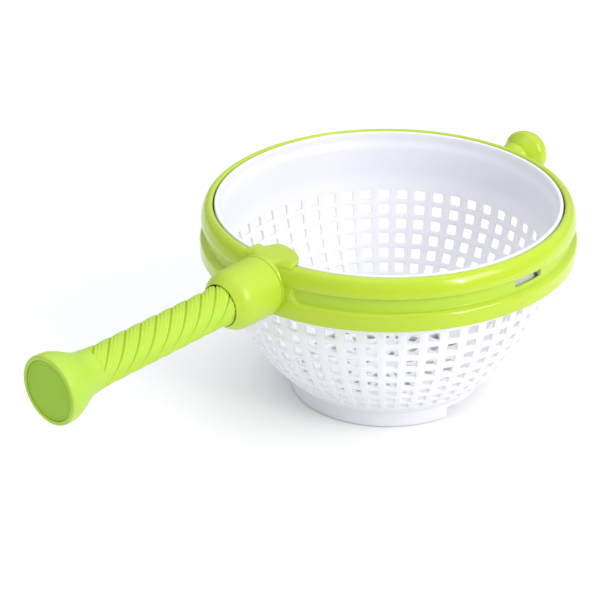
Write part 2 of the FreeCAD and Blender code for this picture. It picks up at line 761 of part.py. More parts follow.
def screw_set(name, radius, head, rise):
    """Two screws, or their holes, across the hub's wall and into its collar from below."""
    seat, bite = size("hub_radius - head_sink"), size("screw_bite")
    inward = FreeCAD.Vector(-1, 0, 0)
    screws = []
    for side in (-1, 1):
        screw = Part.makeCylinder(radius, bite + rise, FreeCAD.Vector(bite - seat, 0, 0), inward)
        if head:
            screw = screw.fuse(Part.makeCylinder(head, size("head_sink") - 0.15 + rise,
                                                 FreeCAD.Vector(-seat, 0, 0), inward))
        screw.translate(FreeCAD.Vector(0, 0, size("collar_start + collar_length / 2")))
        screw.rotate(FreeCAD.Vector(), FreeCAD.Vector(0, 0, 1), side * size("screw_angle"))
        screws.append(screw)
    return shaped(name, Part.makeCompound(screws), TO_HANDLE)


def make_hub():
    """The hub's shell and what it holds still: end plate, annulus gear, bushes and screws."""
    shell = turned("hub", [
        ("hub_bore", "hub_start"),
        ("hub_radius - hub_taper", "hub_start"),
        ("hub_radius", "hub_start + hub_taper"),
        ("hub_front", "hub_end - edge_round", "edge_round", 1),
        ("hub_front - edge_round", "hub_end"),
        ("hub_mouth", "hub_end"),
        ("hub_mouth", "bush_end + fit"),
        ("bush_outer + fit", "bush_end + fit"),
        ("bush_outer + fit", "carrier_end"),
        ("annulus_clear", "carrier_end"),
        ("annulus_clear", "annulus_end + fit"),
        ("hub_bore", "annulus_end + fit"),
    ], TO_HANDLE)
    inner, reach, wide = size("key_inner"), size("key_reach"), size("key_width + 2 * fit")
    key = Part.makeBox(reach - inner, wide, size("annulus_end - hub_start + fit"),
                       FreeCAD.Vector(inner, -wide / 2, size("hub_start")))
    keyways = shaped("keyways", Part.makeCompound(around(key, size("key_count"), 60.0)), TO_HANDLE)
    holes = screw_set("hub_holes", size("screw_radius") + 0.2, size("head_radius") + 0.2, 0.4)
    keep("hub_housing", cut("hub_housing", shell, keyways, holes))
    keep("bearing_plate", turned("end_plate", [
        ("bearing_bore + press", "bearing_start"),
        ("bearing_boss", "bearing_start"),
        ("bearing_boss", "collar_end - end_plate"),
        ("pocket_radius - fit", "collar_end - end_plate"),
        ("pocket_radius - fit", "collar_end + fit / 2"),
        ("collar_radius", "collar_end + fit / 2"),
        ("collar_radius", "plate_end"),
        ("bearing_bore + press", "plate_end"),
    ], TO_HANDLE))
    keep("shaft_bush", turned("shaft_bush", [
        ("shaft_radius + run", "bearing_start"),
        ("bearing_bore", "bearing_start"),
        ("bearing_bore", "plate_end"),
        ("shaft_radius + run", "plate_end"),
    ], TO_HANDLE))
    module, teeth = size("planet_module"), size("annulus_teeth")
    start, length = size("annulus_start"), size("annulus_end - annulus_start")
    rim = Part.makeCylinder(size("collar_radius"), length, FreeCAD.Vector(0, 0, start))
    wide = size("key_width - fit")
    lug = Part.makeBox(reach - inner - 0.3, wide, length, FreeCAD.Vector(inner, -wide / 2, start))
    space = gear_face(teeth, size("annulus_pitch"), 1.25 * module, 0.75 * module, -size("planet_play"))
    bore = spur(space, start - 1, length + 2, 180.0 / teeth)
    lugs = around(lug, size("key_count"), 60.0)
    keep("annulus_gear", shaped("annulus", rim.fuse(lugs).removeSplitter().cut(bore), TO_HANDLE))
    keep("handle_bush", turned("handle_bush", [
        ("sleeve_radius + run", "bush_start"),
        ("bush_outer", "bush_start"),
        ("bush_outer", "bush_end"),
        ("sleeve_radius + run", "bush_end"),
    ], TO_HANDLE))
    keep("hub_screws", screw_set("hub_screw_pair", size("screw_radius"), size("head_radius"), 0))


def make_drive():
    """The steel shaft with its sun gear and pinion, and the planet gears."""
    module, play = size("planet_module"), size("planet_play")
    start, length = size("gear_start"), size("gear_face")
    shaft_end = "carrier_start + shaft_pilot"
    keep("drive_shaft", rod("shaft", "shaft_radius", "pinion_start", shaft_end + " - pinion_start"))
    bore = Part.makeCylinder(size("shaft_radius + press"), size(shaft_end + " - crown_inner"),
                             FreeCAD.Vector(0, 0, size("crown_inner")))
    sun = gear_face(size("sun_teeth"), size("sun_pitch"), 0.95 * module, 1.1 * module, play)
    keep("sun_gear", shaped("sun", spur(sun, start, length).cut(bore), TO_HANDLE))
    teeth, big = size("pinion_teeth"), size("crown_module")
    pinion = gear_face(teeth, size("pinion_pitch"), 0.85 * big, 1.1 * big, size("tooth_play"))
    blank = spur(pinion, size("pinion_start"), size("crown_outer - pinion_start"), 180.0 / teeth)
    keep("drive_pinion", shaped("pinion", blank.cut(bore), TO_HANDLE))
    face = gear_face(size("planet_teeth"), size("planet_pitch"), 0.95 * module, 1.1 * module, play)
    count = int(size("planet_count"))
    hole = Part.makeCylinder(size("pin_radius + run"), length + 2, FreeCAD.Vector(0, 0, start - 1))
    for number in range(count):
        planet = spur(face, start, length, 180.0 / size("planet_teeth")).cut(hole)
        planet.translate(FreeCAD.Vector(size("planet_circle"), 0, 0))
        planet.rotate(FreeCAD.Vector(), FreeCAD.Vector(0, 0, 1), 360.0 * number / count)
        keep("planet_gear_%d" % (number + 1),
             shaped("planet%d" % (number + 1), Part.makeCompound([planet]), TO_HANDLE))


def across(radius, half, place):
    """A rod across the handle's axis, through both of its sides."""
    return Part.makeCylinder(radius, 2 * half, FreeCAD.Vector(0, -half, place), FreeCAD.Vector(0, 1, 0))


def make_carrier():
    """The planet carrier with its pins and the cross pin that ties it to the handle's core."""
    blank = turned("carrier", [
        ("0", "carrier_start"),
        ("carrier_radius", "carrier_start"),
        ("carrier_radius", "carrier_end"),
        ("sleeve_radius", "carrier_end"),
        ("sleeve_radius", "bush_end"),
        ("sleeve_bore", "bush_end"),
        ("sleeve_bore", "carrier_end"),
        ("0", "carrier_end"),
    ], TO_HANDLE)
    count, circle = size("planet_count"), size("planet_circle")
    bore, place = size("pin_radius + press"), size("cross_place")
    pilot = Part.makeCylinder(size("shaft_radius + run"), size("shaft_pilot + 2 * fit"),
                              FreeCAD.Vector(0, 0, size("carrier_start")))
    pin_hole = Part.makeCylinder(bore, size("carrier_plate") + 2,
                                 FreeCAD.Vector(circle, 0, size("carrier_start") - 1))
    cross = across(bore, size("sleeve_radius") + 1, place)
    holes = shaped("carrier_holes", Part.makeCompound([pilot, cross] + around(pin_hole, count)), TO_HANDLE)
    keep("planet_carrier", cut("planet_carrier", blank, holes))
    pin = Part.makeCylinder(size("pin_radius"), size("carrier_end - gear_start"),
                            FreeCAD.Vector(circle, 0, size("gear_start")))
    keep("planet_pins", shaped("pins", Part.makeCompound(around(pin, count)), TO_HANDLE))
    cross_pin = across(size("pin_radius"), size("sleeve_radius") - 0.5, place)
    keep("cross_pin", shaped("cross_pin_rod", cross_pin, TO_HANDLE))
    core = turned("core", [
        ("core_bore", "carrier_end + fit"),
        ("core_radius", "carrier_end + fit"),
        ("core_radius", "core_end"),
        ("bolt_pilot", "core_end"),
        ("bolt_pilot", "core_end - core_plug"),
        ("core_bore", "core_end - core_plug"),
    ], TO_HANDLE)
    tunnel = shaped("core_tunnel", cross.copy(), TO_HANDLE)
    keep("handle_core", cut("handle_core", core, tunnel))


def make_handle():
    """The grip, the bell at its end with its cap, and the screw that clamps them to the core."""
    keep("grip_sleeve", turned("grip", [
        ("sleeve_bore", "grip_start"),
        ("grip_radius", "grip_start"),
        ("grip_radius", "grip_end"),
        ("sleeve_bore", "grip_end"),
    ], TO_HANDLE))
    keep("end_bell", turned("bell", [
        ("sleeve_bore", "bell_start"),
        ("grip_radius + bell_step", "bell_start"),
        ("throat_radius", "bell_start + bell_throat", "bell_hollow", -1),
        ("shoulder_radius", "bell_start + bell_flare", "bell_swell", 1),
        ("bell_radius", "bell_end - bell_crest"),
        ("bell_radius", "bell_end - edge_round", "edge_round", 1),
        ("bell_radius - edge_round", "bell_end"),
        ("cap_radius + fit", "bell_end"),
        ("cap_radius + fit", "cap_base - fit"),
        ("cap_radius - cap_ledge", "cap_base - fit"),
        ("cap_radius - cap_ledge", "bell_end - bell_band"),
        ("grip_radius + 0.6", "bell_ledge"),
        ("bolt_hole", "bell_ledge"),
        ("bolt_hole", "core_end + fit"),
        ("sleeve_bore", "core_end + fit"),
    ], TO_HANDLE))
    keep("end_cap", turned("cap", [
        ("0", "cap_base"),
        ("cap_radius", "cap_base"),
        ("cap_radius", "cap_top"),
        ("0", "cap_top"),
    ], TO_HANDLE))
    keep("core_washer", turned("washer", [
        ("bolt_hole - fit", "bell_washer"),
        ("washer_radius", "bell_washer"),
        ("washer_radius", "bell_washer + washer_thick"),
        ("bolt_hole - fit", "bell_washer + washer_thick"),
    ], TO_HANDLE))
    bolt("core_screw", "core_head", TO_HANDLE)


def bolt(name, seat, turn):
    """A round-headed screw whose head rests at seat."""
    keep(name, turned(name, [
        ("0", seat + " - bolt_length"),
        ("bolt_radius", seat + " - bolt_length"),
        ("bolt_radius", seat),
        ("bolt_head", seat),
        ("bolt_head", seat + " + bolt_head_tall"),
        ("0", seat + " + bolt_head_tall"),
    ], turn))


def make_knob():
    """The rest knob opposite the handle: a neck, a mushroom head and one screw."""
    keep("knob_neck", turned("neck", [
        ("spigot_bore", "neck_start"),
        ("neck_radius", "neck_start", "neck_curve", -1),
        ("neck_rim", "neck_end"),
        ("spigot_bore", "neck_end"),
    ], TO_KNOB))
    keep("rest_knob", turned("knob", [
        ("spigot_bore", "knob_start"),
        ("neck_rim", "knob_start"),
        ("brow_radius", "knob_start + knob_brow", "knob_round", 1),
        ("tip_radius", "knob_end"),
        ("bolt_head + 0.7", "knob_end"),
        ("bolt_head + 0.7", "knob_floor"),
        ("bolt_hole", "knob_floor"),
        ("bolt_hole", "knob_ledge"),
        ("spigot_bore", "knob_ledge"),
    ], TO_KNOB))
    bolt("knob_screw", "knob_head", TO_KNOB)


def export():
    """Check every object, then write each piece to its own file."""
    doc.recompute()
    failed = [thing.Label for thing in doc.Objects if {"Invalid", "Error"} & set(thing.State)]
    if failed:
        raise RuntimeError("objects that failed: " + ", ".join(failed))
    for name, thing in NODES.items():
        if thing.Shape.isNull() or not thing.Shape.isValid() or not thing.Shape.Solids:
            raise RuntimeError("piece is not a valid solid: " + name)
    os.makedirs("parts", exist_ok=True)
    for name, thing in NODES.items():
        thing.Shape.exportStep("parts/%s.step" % name)
        print("%-16s solids %2d  volume %9.1f mm3" % (name, len(thing.Shape.Solids), thing.Shape.Volume))


make_basket()
make_crown_gear()
make_race()
make_ring()
make_hub()
make_drive()
make_carrier()
make_handle()
make_knob()
export()
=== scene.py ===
import json
import math

import bmesh
import bpy
from mathutils import Matrix, Vector


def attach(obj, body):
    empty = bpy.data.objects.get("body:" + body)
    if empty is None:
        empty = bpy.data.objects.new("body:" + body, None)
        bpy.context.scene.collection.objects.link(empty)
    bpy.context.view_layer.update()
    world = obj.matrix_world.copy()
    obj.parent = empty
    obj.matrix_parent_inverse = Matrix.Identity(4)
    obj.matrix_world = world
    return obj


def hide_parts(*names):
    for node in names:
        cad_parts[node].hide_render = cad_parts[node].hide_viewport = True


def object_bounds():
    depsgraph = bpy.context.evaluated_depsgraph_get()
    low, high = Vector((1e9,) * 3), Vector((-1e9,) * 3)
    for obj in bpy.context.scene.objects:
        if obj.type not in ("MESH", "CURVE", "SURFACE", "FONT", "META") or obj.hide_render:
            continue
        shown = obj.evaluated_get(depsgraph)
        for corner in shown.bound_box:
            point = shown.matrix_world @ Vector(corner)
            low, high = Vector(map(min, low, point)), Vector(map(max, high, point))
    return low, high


# Salad spinner: a white drilled bowl in a glossy green ring, with a twisted grip on one side and a
# rest knob on the other.  Sizes are in millimetres, as in the CAD model, and become metres when a
# mesh is made.

MM = 0.001
TURN = 2 * math.pi

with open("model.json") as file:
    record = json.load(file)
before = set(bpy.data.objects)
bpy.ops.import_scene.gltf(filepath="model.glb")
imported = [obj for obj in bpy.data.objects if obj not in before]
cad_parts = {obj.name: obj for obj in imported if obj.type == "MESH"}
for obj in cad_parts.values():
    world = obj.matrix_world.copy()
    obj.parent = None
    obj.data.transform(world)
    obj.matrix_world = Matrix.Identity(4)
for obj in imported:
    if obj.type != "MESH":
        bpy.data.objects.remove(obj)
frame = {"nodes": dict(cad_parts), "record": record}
CAD_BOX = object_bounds()

# ---------------------------------------------------------------- sizes

# basket
RIM_HEIGHT = 125.5
LIP_RADIUS = 106.0
LIP_BAND = 3.6
LIP_ROUND = 0.9
LIP_THICK = 2.4
WALL_RADIUS = 103.4
WALL = 2.2
FLARE_HEIGHT = 11.0
CURVE_HEIGHT = 102.2
FOOT_RADIUS = 61.0
FOOT_HEIGHT = 9.5
FOOT_WALL = 2.6
FOOT_GAPS = ((77.5, 134.5), (257.5, 314.5))
FLOOR_HEIGHT = 6.8
FLOOR_THICK = 2.4
COLUMNS = 52
HOLE_SHARE = 0.56
HOLE_TALL = 6.2
HOLE_CORNER = 0.9
HOLE_EDGE = 0.35
ROW_START = 19.9
ROW_STEP = 9.75
ROWS = 8
FLOOR_EDGE_GAP = 6.2
FLOOR_STEP = 12.0

# the wall's curve
CURVE_IN = WALL_RADIUS - FOOT_RADIUS
CURVE_RADIUS = (CURVE_IN ** 2 + (CURVE_HEIGHT - FOOT_HEIGHT) ** 2) / (2 * CURVE_IN)
CURVE_CENTRE = WALL_RADIUS - CURVE_RADIUS
CURVE_MIDDLE = CURVE_RADIUS - WALL / 2
FLOOR_TOP = FLOOR_HEIGHT + FLOOR_THICK
FLOOR_EDGE = CURVE_CENTRE + math.sqrt((CURVE_RADIUS - WALL) ** 2 - (CURVE_HEIGHT - FLOOR_TOP) ** 2)

# race and ring: the crown is the ring's upper half and the band its lower half, with a tongue that
# stands up inside the crown; HUB_PAD and KNOB_PAD are half the width of the pads where the groove stops
AXIS_HEIGHT = RIM_HEIGHT - 16.0
RIB_RADIUS = WALL_RADIUS + 1.2
RIB_NEAR = 3.4
RIB_FAR = 4.6
STOP_HEIGHT = 101.47
RIM_INNER = 107.0
RIM_OUTER = 114.5
RING_TOP = 126.0
ROOF_THICK = 3.2
CROWN_THICK = 1.5
CROWN_TOP = 109.2
SKIRT_OUTER = 110.4
SKIRT_BASE = 114.1
SEAM_HEIGHT = 114.6
SEAM_GAP = 0.06
GROOVE_FLOOR = 111.8
GROOVE_FILLET = 1.9
GROOVE_LEAD = 0.35
GROOVE_OPENING = 4.0
GROOVE_OPENING_RUN = 12.0
PAD_RADIUS = 114.35
SEAT_RADIUS = 110.8
FLANGE_RADIUS = 115.57
FLANGE_INNER = 114.1
FLANGE_TOP = 104.75
BEAD_HEIGHT = 102.2
BEAD_ROUND = 3.0
RING_BASE = 94.55
CHANNEL_TOP = 102.75
SHELF_INNER = 108.8
SHELF_TOP = 103.9
TONGUE_TOP = 119.0
TONGUE_OUTER = GROOVE_FLOOR - 0.1
HUB_PAD = 21.15
KNOB_PAD = 11.7
SLOT_PLACE = 266.5
SLOT_LENGTH = 22.7
SLOT_TALL = 6.4
SLOT_ROUND = 1.4
SLOT_DROP = 0.05

# hub
BOSS_RADIUS = 17.7
BOSS_START = 111.9
BOSS_END = 114.2
COLLAR_RADIUS = 15.75
COLLAR_END = 120.6
POCKET_RADIUS = 11.85
POCKET_CLEARANCE = 0.3
HUB_START = 114.3
HUB_RADIUS = 17.95
HUB_FRONT = 17.7
HUB_SHOULDER = 141.0
HUB_END = 148.0
HUB_MOUTH = 12.5
HUB_STOP = 138.75
HUB_BORE = 15.85
HUB_STEP = 1.45
SCREW_PLACE = 118.1
SCREW_ANGLE = 40.0
SCREW_SEAT = 16.75
SCREW_HEAD = 2.2

# grip: six strands, each with fine ribs along it, and a swelling at either end, of which the one at
# the hub runs a little past the hub's end
GRIP_RADIUS = 11.7
GRIP_BORE = 7.55
GRIP_START = 138.95
GRIP_END = 246.15
STRANDS = 6
STRAND_PITCH = 11.6
STRAND_SINK = 1.0
STRAND_SWELL = 0.5
STRAND_LEAN = 0.75
STRAND_GROOVE = 0.8
STRAND_GROOVE_SHARE = 0.055
RIBS_IN_STRAND = 4
RIB_SWELL = 0.42
HUB_SWELL = 0.6
HUB_SWELL_PAST = 5.0
HUB_SWELL_RUN = 6.0
BELL_SWELL = 0.45
BELL_SWELL_RUN = 9.0

# bell, cap and knob
BELL_START = 246.25
BELL_END = 275.95
BELL_RADIUS = 20.0
BELL_NECK = 12.2
BELL_WAIST = 12.95
BELL_FLARE = 19.6
BELL_HOLLOW = 11.6
CAP_RADIUS = 17.3
CAP_BASE = 273.65
CAP_TOP = 275.25
CAP_CLEARANCE = 0.08
CORE_HOLE = 2.2
KNOB_BOSS = 9.5
NECK_START = 115.7
KNOB_BOSS_END = NECK_START - 0.1
NECK_END = 131.1
NECK_RADIUS = 8.5
NECK_COLLAR = 11.0
NECK_GROOVE = 9.2
KNOB_START = 131.2
KNOB_END = 149.5
KNOB_FLARE = 15.5
KNOB_FACE = 9.2
KNOB_RECESS = 4.3
SPIGOT_BORE = 5.05

# lobe over the basket's lip: a tongue beside one round ear; each side of the tongue has its width
# and the power of its curve
LOBE_BASE = 125.9
LOBE_TOP = 127.5
LOBE_BACK = 111.8
LOBE_BACK_STEP = 1.8
LOBE_BACK_HALF = 12.0
LOBE_BACK_RUN = 5.0
LOBE_LEFT = 15.4
LOBE_RIGHT = -20.4
LOBE_SHOULDER = 1.2
LOBE_SHOULDER_RUN = 2.0
LOBE_SINK = 0.3
LOBE_SINK_RUN = 5.5
LOBE_ROOT = 2.5
LOBE_BLEND = 0.3
LOBE_TONGUE_PLACE = -105.5
LOBE_TONGUE_MIDDLE = 1.0
LOBE_TONGUE_REACH = 13.1
LOBE_TONGUE_SIDES = {"left": (6.9, 2.2), "right": (21.2, 1.8)}
LOBE_EAR_PLACE = -105.2
LOBE_EAR_MIDDLE = 11.3
LOBE_EAR_RADIUS = 4.8

# camera and floor, with places in metres
CAMERA_PLACE = (-0.8586, -0.7155, 0.6356)
CAMERA_TURN = math.radians(-47.4)
CAMERA_TILT = math.radians(62.57)
CAMERA_ROLL = math.radians(-0.66)
CAMERA_LENS = 120.84
CAMERA_SENSOR = 36
FLOOR_SIZE = 6
FLOOR_DROP = 0.0005


# ---------------------------------------------------------------- materials

def new_material(name):
    """A new material, its nodes and links, and its shader."""
    made = bpy.data.materials.new(name)
    made.use_nodes = True
    nodes = made.node_tree.nodes
    shader = nodes["Principled BSDF"]
    return made, nodes, made.node_tree.links, shader


def noise(nodes, links, scale, detail, rough=0.5):
    """A noise texture in the object's own space."""
    place = nodes.new("ShaderNodeTexCoord")
    texture = nodes.new("ShaderNodeTexNoise")
    texture.inputs["Scale"].default_value = scale
    texture.inputs["Detail"].default_value = detail
    texture.inputs["Roughness"].default_value = rough
    links.new(place.outputs["Object"], texture.inputs["Vector"])
    return texture


def ramp_of(nodes, links, source, low, high, dim, bright):
    """A value that rises from dim to bright as the source goes from low to high."""
    mapped = nodes.new("ShaderNodeMapRange")
    mapped.inputs["From Min"].default_value = low
    mapped.inputs["From Max"].default_value = high
    mapped.inputs["To Min"].default_value = dim
    mapped.inputs["To Max"].default_value = bright
    links.new(source, mapped.inputs["Value"])
    return mapped.outputs["Result"]


def spread(nodes, links, texture, low, high):
    """The noise texture's value mapped to a range."""
    return ramp_of(nodes, links, texture.outputs["Fac"], 0.3, 0.7, low, high)


def tint(nodes, links, texture, dark, light):
    """A slow drift between two close colours."""
    ramp = nodes.new("ShaderNodeValToRGB")
    ramp.color_ramp.elements[0].position = 0.3
    ramp.color_ramp.elements[0].color = (*dark, 1)
    ramp.color_ramp.elements[1].position = 0.7
    ramp.color_ramp.elements[1].color = (*light, 1)
    links.new(texture.outputs["Fac"], ramp.inputs["Fac"])
    return ramp.outputs["Color"]


def bump(nodes, links, height, strength, distance, shader):
    """Raise the surface by a small height."""
    raised = nodes.new("ShaderNodeBump")
    raised.inputs["Strength"].default_value = strength
    raised.inputs["Distance"].default_value = distance
    links.new(height, raised.inputs["Height"])
    links.new(raised.outputs["Normal"], shader.inputs["Normal"])


def moulded(name, dark, light, rough, grain=900, grain_height=0.02, coat=0.0, glow=0.0, ior=1.5):
    """Moulded plastic: a slow drift of colour, uneven gloss and a fine skin."""
    made, nodes, links, shader = new_material(name)
    drift = noise(nodes, links, 14, 3)
    links.new(tint(nodes, links, drift, dark, light), shader.inputs["Base Color"])
    patchy = noise(nodes, links, 60, 4)
    links.new(spread(nodes, links, patchy, rough * 0.88, rough * 1.14), shader.inputs["Roughness"])
    skin = noise(nodes, links, grain, 2)
    bump(nodes, links, skin.outputs["Fac"], grain_height, 0.0004, shader)
    shader.inputs["IOR"].default_value = ior
    shader.inputs["Coat Weight"].default_value = coat
    shader.inputs["Coat Roughness"].default_value = 0.08
    shader.inputs["Subsurface Weight"].default_value = glow
    shader.inputs["Subsurface Radius"].default_value = (1.0, 0.9, 0.8)
    shader.inputs["Subsurface Scale"].default_value = 0.004
    return made


def metal(name, dark, light, rough, brushed=0.0):
    """Bare metal with fine marks from turning or polishing."""
    made, nodes, links, shader = new_material(name)
    drift = noise(nodes, links, 300, 3)
    links.new(tint(nodes, links, drift, dark, light), shader.inputs["Base Color"])
    marks = noise(nodes, links, 1500, 4, 0.7)
    links.new(spread(nodes, links, marks, rough * 0.8, rough * 1.3), shader.inputs["Roughness"])
    shader.inputs["Metallic"].default_value = 1.0
    if brushed:
        bump(nodes, links, marks.outputs["Fac"], brushed, 0.0002, shader)
    return made


def floor_material():
    """A pale matt tabletop."""
    made, nodes, links, shader = new_material("pale_floor")
    drift = noise(nodes, links, 3, 2)
    colour = tint(nodes, links, drift, (0.94, 0.94, 0.945), (0.96, 0.96, 0.96))
    links.new(colour, shader.inputs["Base Color"])
    shader.inputs["Roughness"].default_value = 0.9
    shader.inputs["Specular IOR Level"].default_value = 0.1
    return made


PLASTICS = {
    "basket_white": {
        "dark": (0.785, 0.785, 0.825), "light": (0.82, 0.82, 0.855),
        "rough": 0.32, "grain": 700, "grain_height": 0.015, "glow": 0.35,
    },
    "ring_green": {
        "dark": (0.425, 0.575, 0.018), "light": (0.46, 0.61, 0.025),
        "rough": 0.19, "grain": 800, "grain_height": 0.008, "coat": 0.25, "glow": 0.05, "ior": 1.43,
    },
    # painted shade: a duller copy of the ring's green, laid on the groove's floor in the recess
    "groove_shade_green": {
        "dark": (0.42, 0.60, 0.02), "light": (0.46, 0.64, 0.03),
        "rough": 0.42, "grain": 900, "grain_height": 0.03, "coat": 0.1, "glow": 0.05,
    },
    "hub_green": {
        "dark": (0.415, 0.58, 0.022), "light": (0.45, 0.615, 0.03),
        "rough": 0.40, "grain": 1000, "grain_height": 0.03, "coat": 0.08, "glow": 0.06,
    },
    "grip_green": {
        "dark": (0.415, 0.61, 0.033), "light": (0.45, 0.65, 0.046),
        "rough": 0.50, "grain": 1600, "grain_height": 0.12, "glow": 0.1,
    },
    "cap_green": {
        "dark": (0.29, 0.52, 0.015), "light": (0.33, 0.56, 0.02),
        "rough": 0.5, "grain": 1200, "grain_height": 0.05, "ior": 1.4,
    },
    "bell_green": {
        "dark": (0.39, 0.60, 0.04), "light": (0.425, 0.64, 0.05),
        "rough": 0.42, "grain": 1200, "grain_height": 0.04, "coat": 0.1, "glow": 0.08,
    },
    "gear_white": {
        "dark": (0.74, 0.74, 0.70), "light": (0.80, 0.80, 0.76),
        "rough": 0.38, "grain": 700,
    },
}

METALS = {
    "ball_chrome": {"dark": (0.80, 0.80, 0.81), "light": (0.92, 0.92, 0.93), "rough": 0.06},
    "pin_steel": {"dark": (0.42, 0.42, 0.44), "light": (0.60, 0.60, 0.62), "rough": 0.28, "brushed": 0.15},
    "bush_bronze": {"dark": (0.42, 0.27, 0.11), "light": (0.56, 0.37, 0.17), "rough": 0.38, "brushed": 0.2},
}

MATERIALS = {name: moulded(name, **look) for name, look in PLASTICS.items()}
MATERIALS.update({name: metal(name, **look) for name, look in METALS.items()})


def paint_frame():
    """Give every CAD node the finish of its material slot."""
    for part in frame["record"]["subparts"]:
        mesh = frame["nodes"][part["node"]].data
        mesh.materials.clear()
        mesh.materials.append(MATERIALS[part["material_slot"]])


# ---------------------------------------------------------------- mesh tools

def ease(share):
    """A smooth step from 0 to 1."""
    share = min(1.0, max(0.0, share))
    return share * share * (3 - 2 * share)


def finish_mesh(name, bm, slot, body, stands_for, angle=35, edge=0.0, edge_angle=50):
    """Turn a bmesh in millimetres into a piece that rides on a body and stands for a CAD node."""
    bmesh.ops.remove_doubles(bm, verts=bm.verts, dist=0.002)
    bmesh.ops.recalc_face_normals(bm, faces=bm.faces)
    bmesh.ops.scale(bm, vec=(MM, MM, MM), verts=bm.verts)
    mesh = bpy.data.meshes.new(name)
    bm.to_mesh(mesh)
    bm.free()
    mesh.shade_smooth()
    mesh.set_sharp_from_angle(angle=math.radians(angle))
    mesh.materials.append(MATERIALS[slot])
    piece = bpy.data.objects.new(name, mesh)
    bpy.context.scene.collection.objects.link(piece)
    if edge:
        bevel = piece.modifiers.new("edges", "BEVEL")
        bevel.width = edge * MM
        bevel.segments = 2
        bevel.limit_method = "ANGLE"
        bevel.angle_limit = math.radians(edge_angle)
        bevel.harden_normals = True
    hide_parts(stands_for)
    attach(piece, body)
    return piece


def polar(radius, angle, height):
    """A point at a radius, an angle in radians and a height."""
    return Vector((radius * math.cos(angle), radius * math.sin(angle), height))


def strip(bm, first, second, closed=True):
    """Quads between two rows of vertices."""
    count = len(first)
    for number in range(count if closed else count - 1):
        after = (number + 1) % count
        bm.faces.new((first[number], first[after], second[after], second[number]))


# ---------------------------------------------------------------- basket

def wall_place(along, depth):
    """(radius, height) on the curved wall: along its middle from the curve's start, depth out from it."""
    drop = along / CURVE_MIDDLE
    reach = CURVE_MIDDLE + depth
    return CURVE_CENTRE + reach * math.cos(drop), CURVE_HEIGHT - reach * math.sin(drop)


def four_sides(half_wide, half_tall, side):
    """Points round a rectangle: side gives those of one side, for each of the four turns."""
    points = []
    for turn in range(4):
        c, s = math.cos(turn * TURN / 4), math.sin(turn * TURN / 4)
        wide, tall = (half_wide, half_tall) if turn % 2 == 0 else (half_tall, half_wide)
        points += [(c * x - s * y, s * x + c * y) for x, y in side(wide, tall)]
    return points


def hole_loop(half_wide, half_tall, corner):
    """Twelve points round a square hole with round corners, from the middle of its first corner."""
    diagonal = corner * (1 - math.sqrt(0.5))

    def side(wide, tall):
        return (wide - diagonal, tall - diagonal), (wide - corner, tall), (-(wide - corner), tall)

    return four_sides(half_wide, half_tall, side)


def cell_loop(half_wide, half_tall):
    """The twelve points round a cell that go with a hole's loop."""
    def side(wide, tall):
        return (wide, tall), (wide / 3, tall), (-wide / 3, tall)

    return four_sides(half_wide, half_tall, side)


def hole_levels(thick):
    """(growth, depth) of each loop down through a hole, with a rounded edge at both faces."""
    half, edge = thick / 2, HOLE_EDGE
    soft = edge * (1 - math.sqrt(0.5))
    one_side = [(edge, half), (soft, half - soft), (0.0, half - edge)]
    return one_side + [(grow, -depth) for grow, depth in reversed(one_side)]


def add_wall_cell(bm, column, row):
    """One cell of the wall: its outer face, the hole through it and its inner face."""
    along = ROW_START + row * ROW_STEP
    middle = column * TURN / COLUMNS
    radius = wall_place(along, 0)[0]
    pitch = TURN * radius / COLUMNS
    half_wide, half_tall = pitch * HOLE_SHARE / 2, HOLE_TALL / 2

    def point(x, y, depth):
        r, z = wall_place(along - y, depth)
        return bm.verts.new(polar(r, middle + x / radius, z))

    loops = [[point(x, y, WALL / 2) for x, y in cell_loop(pitch / 2, ROW_STEP / 2)]]
    for grow, depth in hole_levels(WALL):
        outline = hole_loop(half_wide + grow, half_tall + grow, HOLE_CORNER + grow)
        loops.append([point(x, y, depth) for x, y in outline])
    loops.append([point(x, y, -WALL / 2) for x, y in cell_loop(pitch / 2, ROW_STEP / 2)])
    for first, second in zip(loops, loops[1:]):
        strip(bm, first, second)


def column_angles():
    """The angles of the mesh's columns: three to each column of holes."""
    return [(number - 0.5) * TURN / (3 * COLUMNS) for number in range(3 * COLUMNS)]


def foot_angles():
    """The same angles, with the nearest ones moved to the ends of the foot's gaps."""
    angles = column_angles()
    for gap in FOOT_GAPS:
        for end in gap:
            target = math.radians(end)
            nearest = min(range(len(angles)), key=lambda n: abs(angles[n] - target))
            angles[nearest] = target
    return angles


def in_gap(angle):
    """Whether an angle lies in one of the foot's gaps."""
    return any(low < math.degrees(angle) < high for low, high in FOOT_GAPS)


def ring_of(bm, radius, height, angles):
    """A row of vertices at a radius and a height."""
    return [bm.verts.new(polar(radius, angle, height)) for angle in angles]


def rows_between(bm, stations, angles):
    """Rows of vertices at (radius, height) stations, joined by quads."""
    rows = [ring_of(bm, r, z, angles) for r, z in stations]
    for first, second in zip(rows, rows[1:]):
        strip(bm, first, second)
    return rows


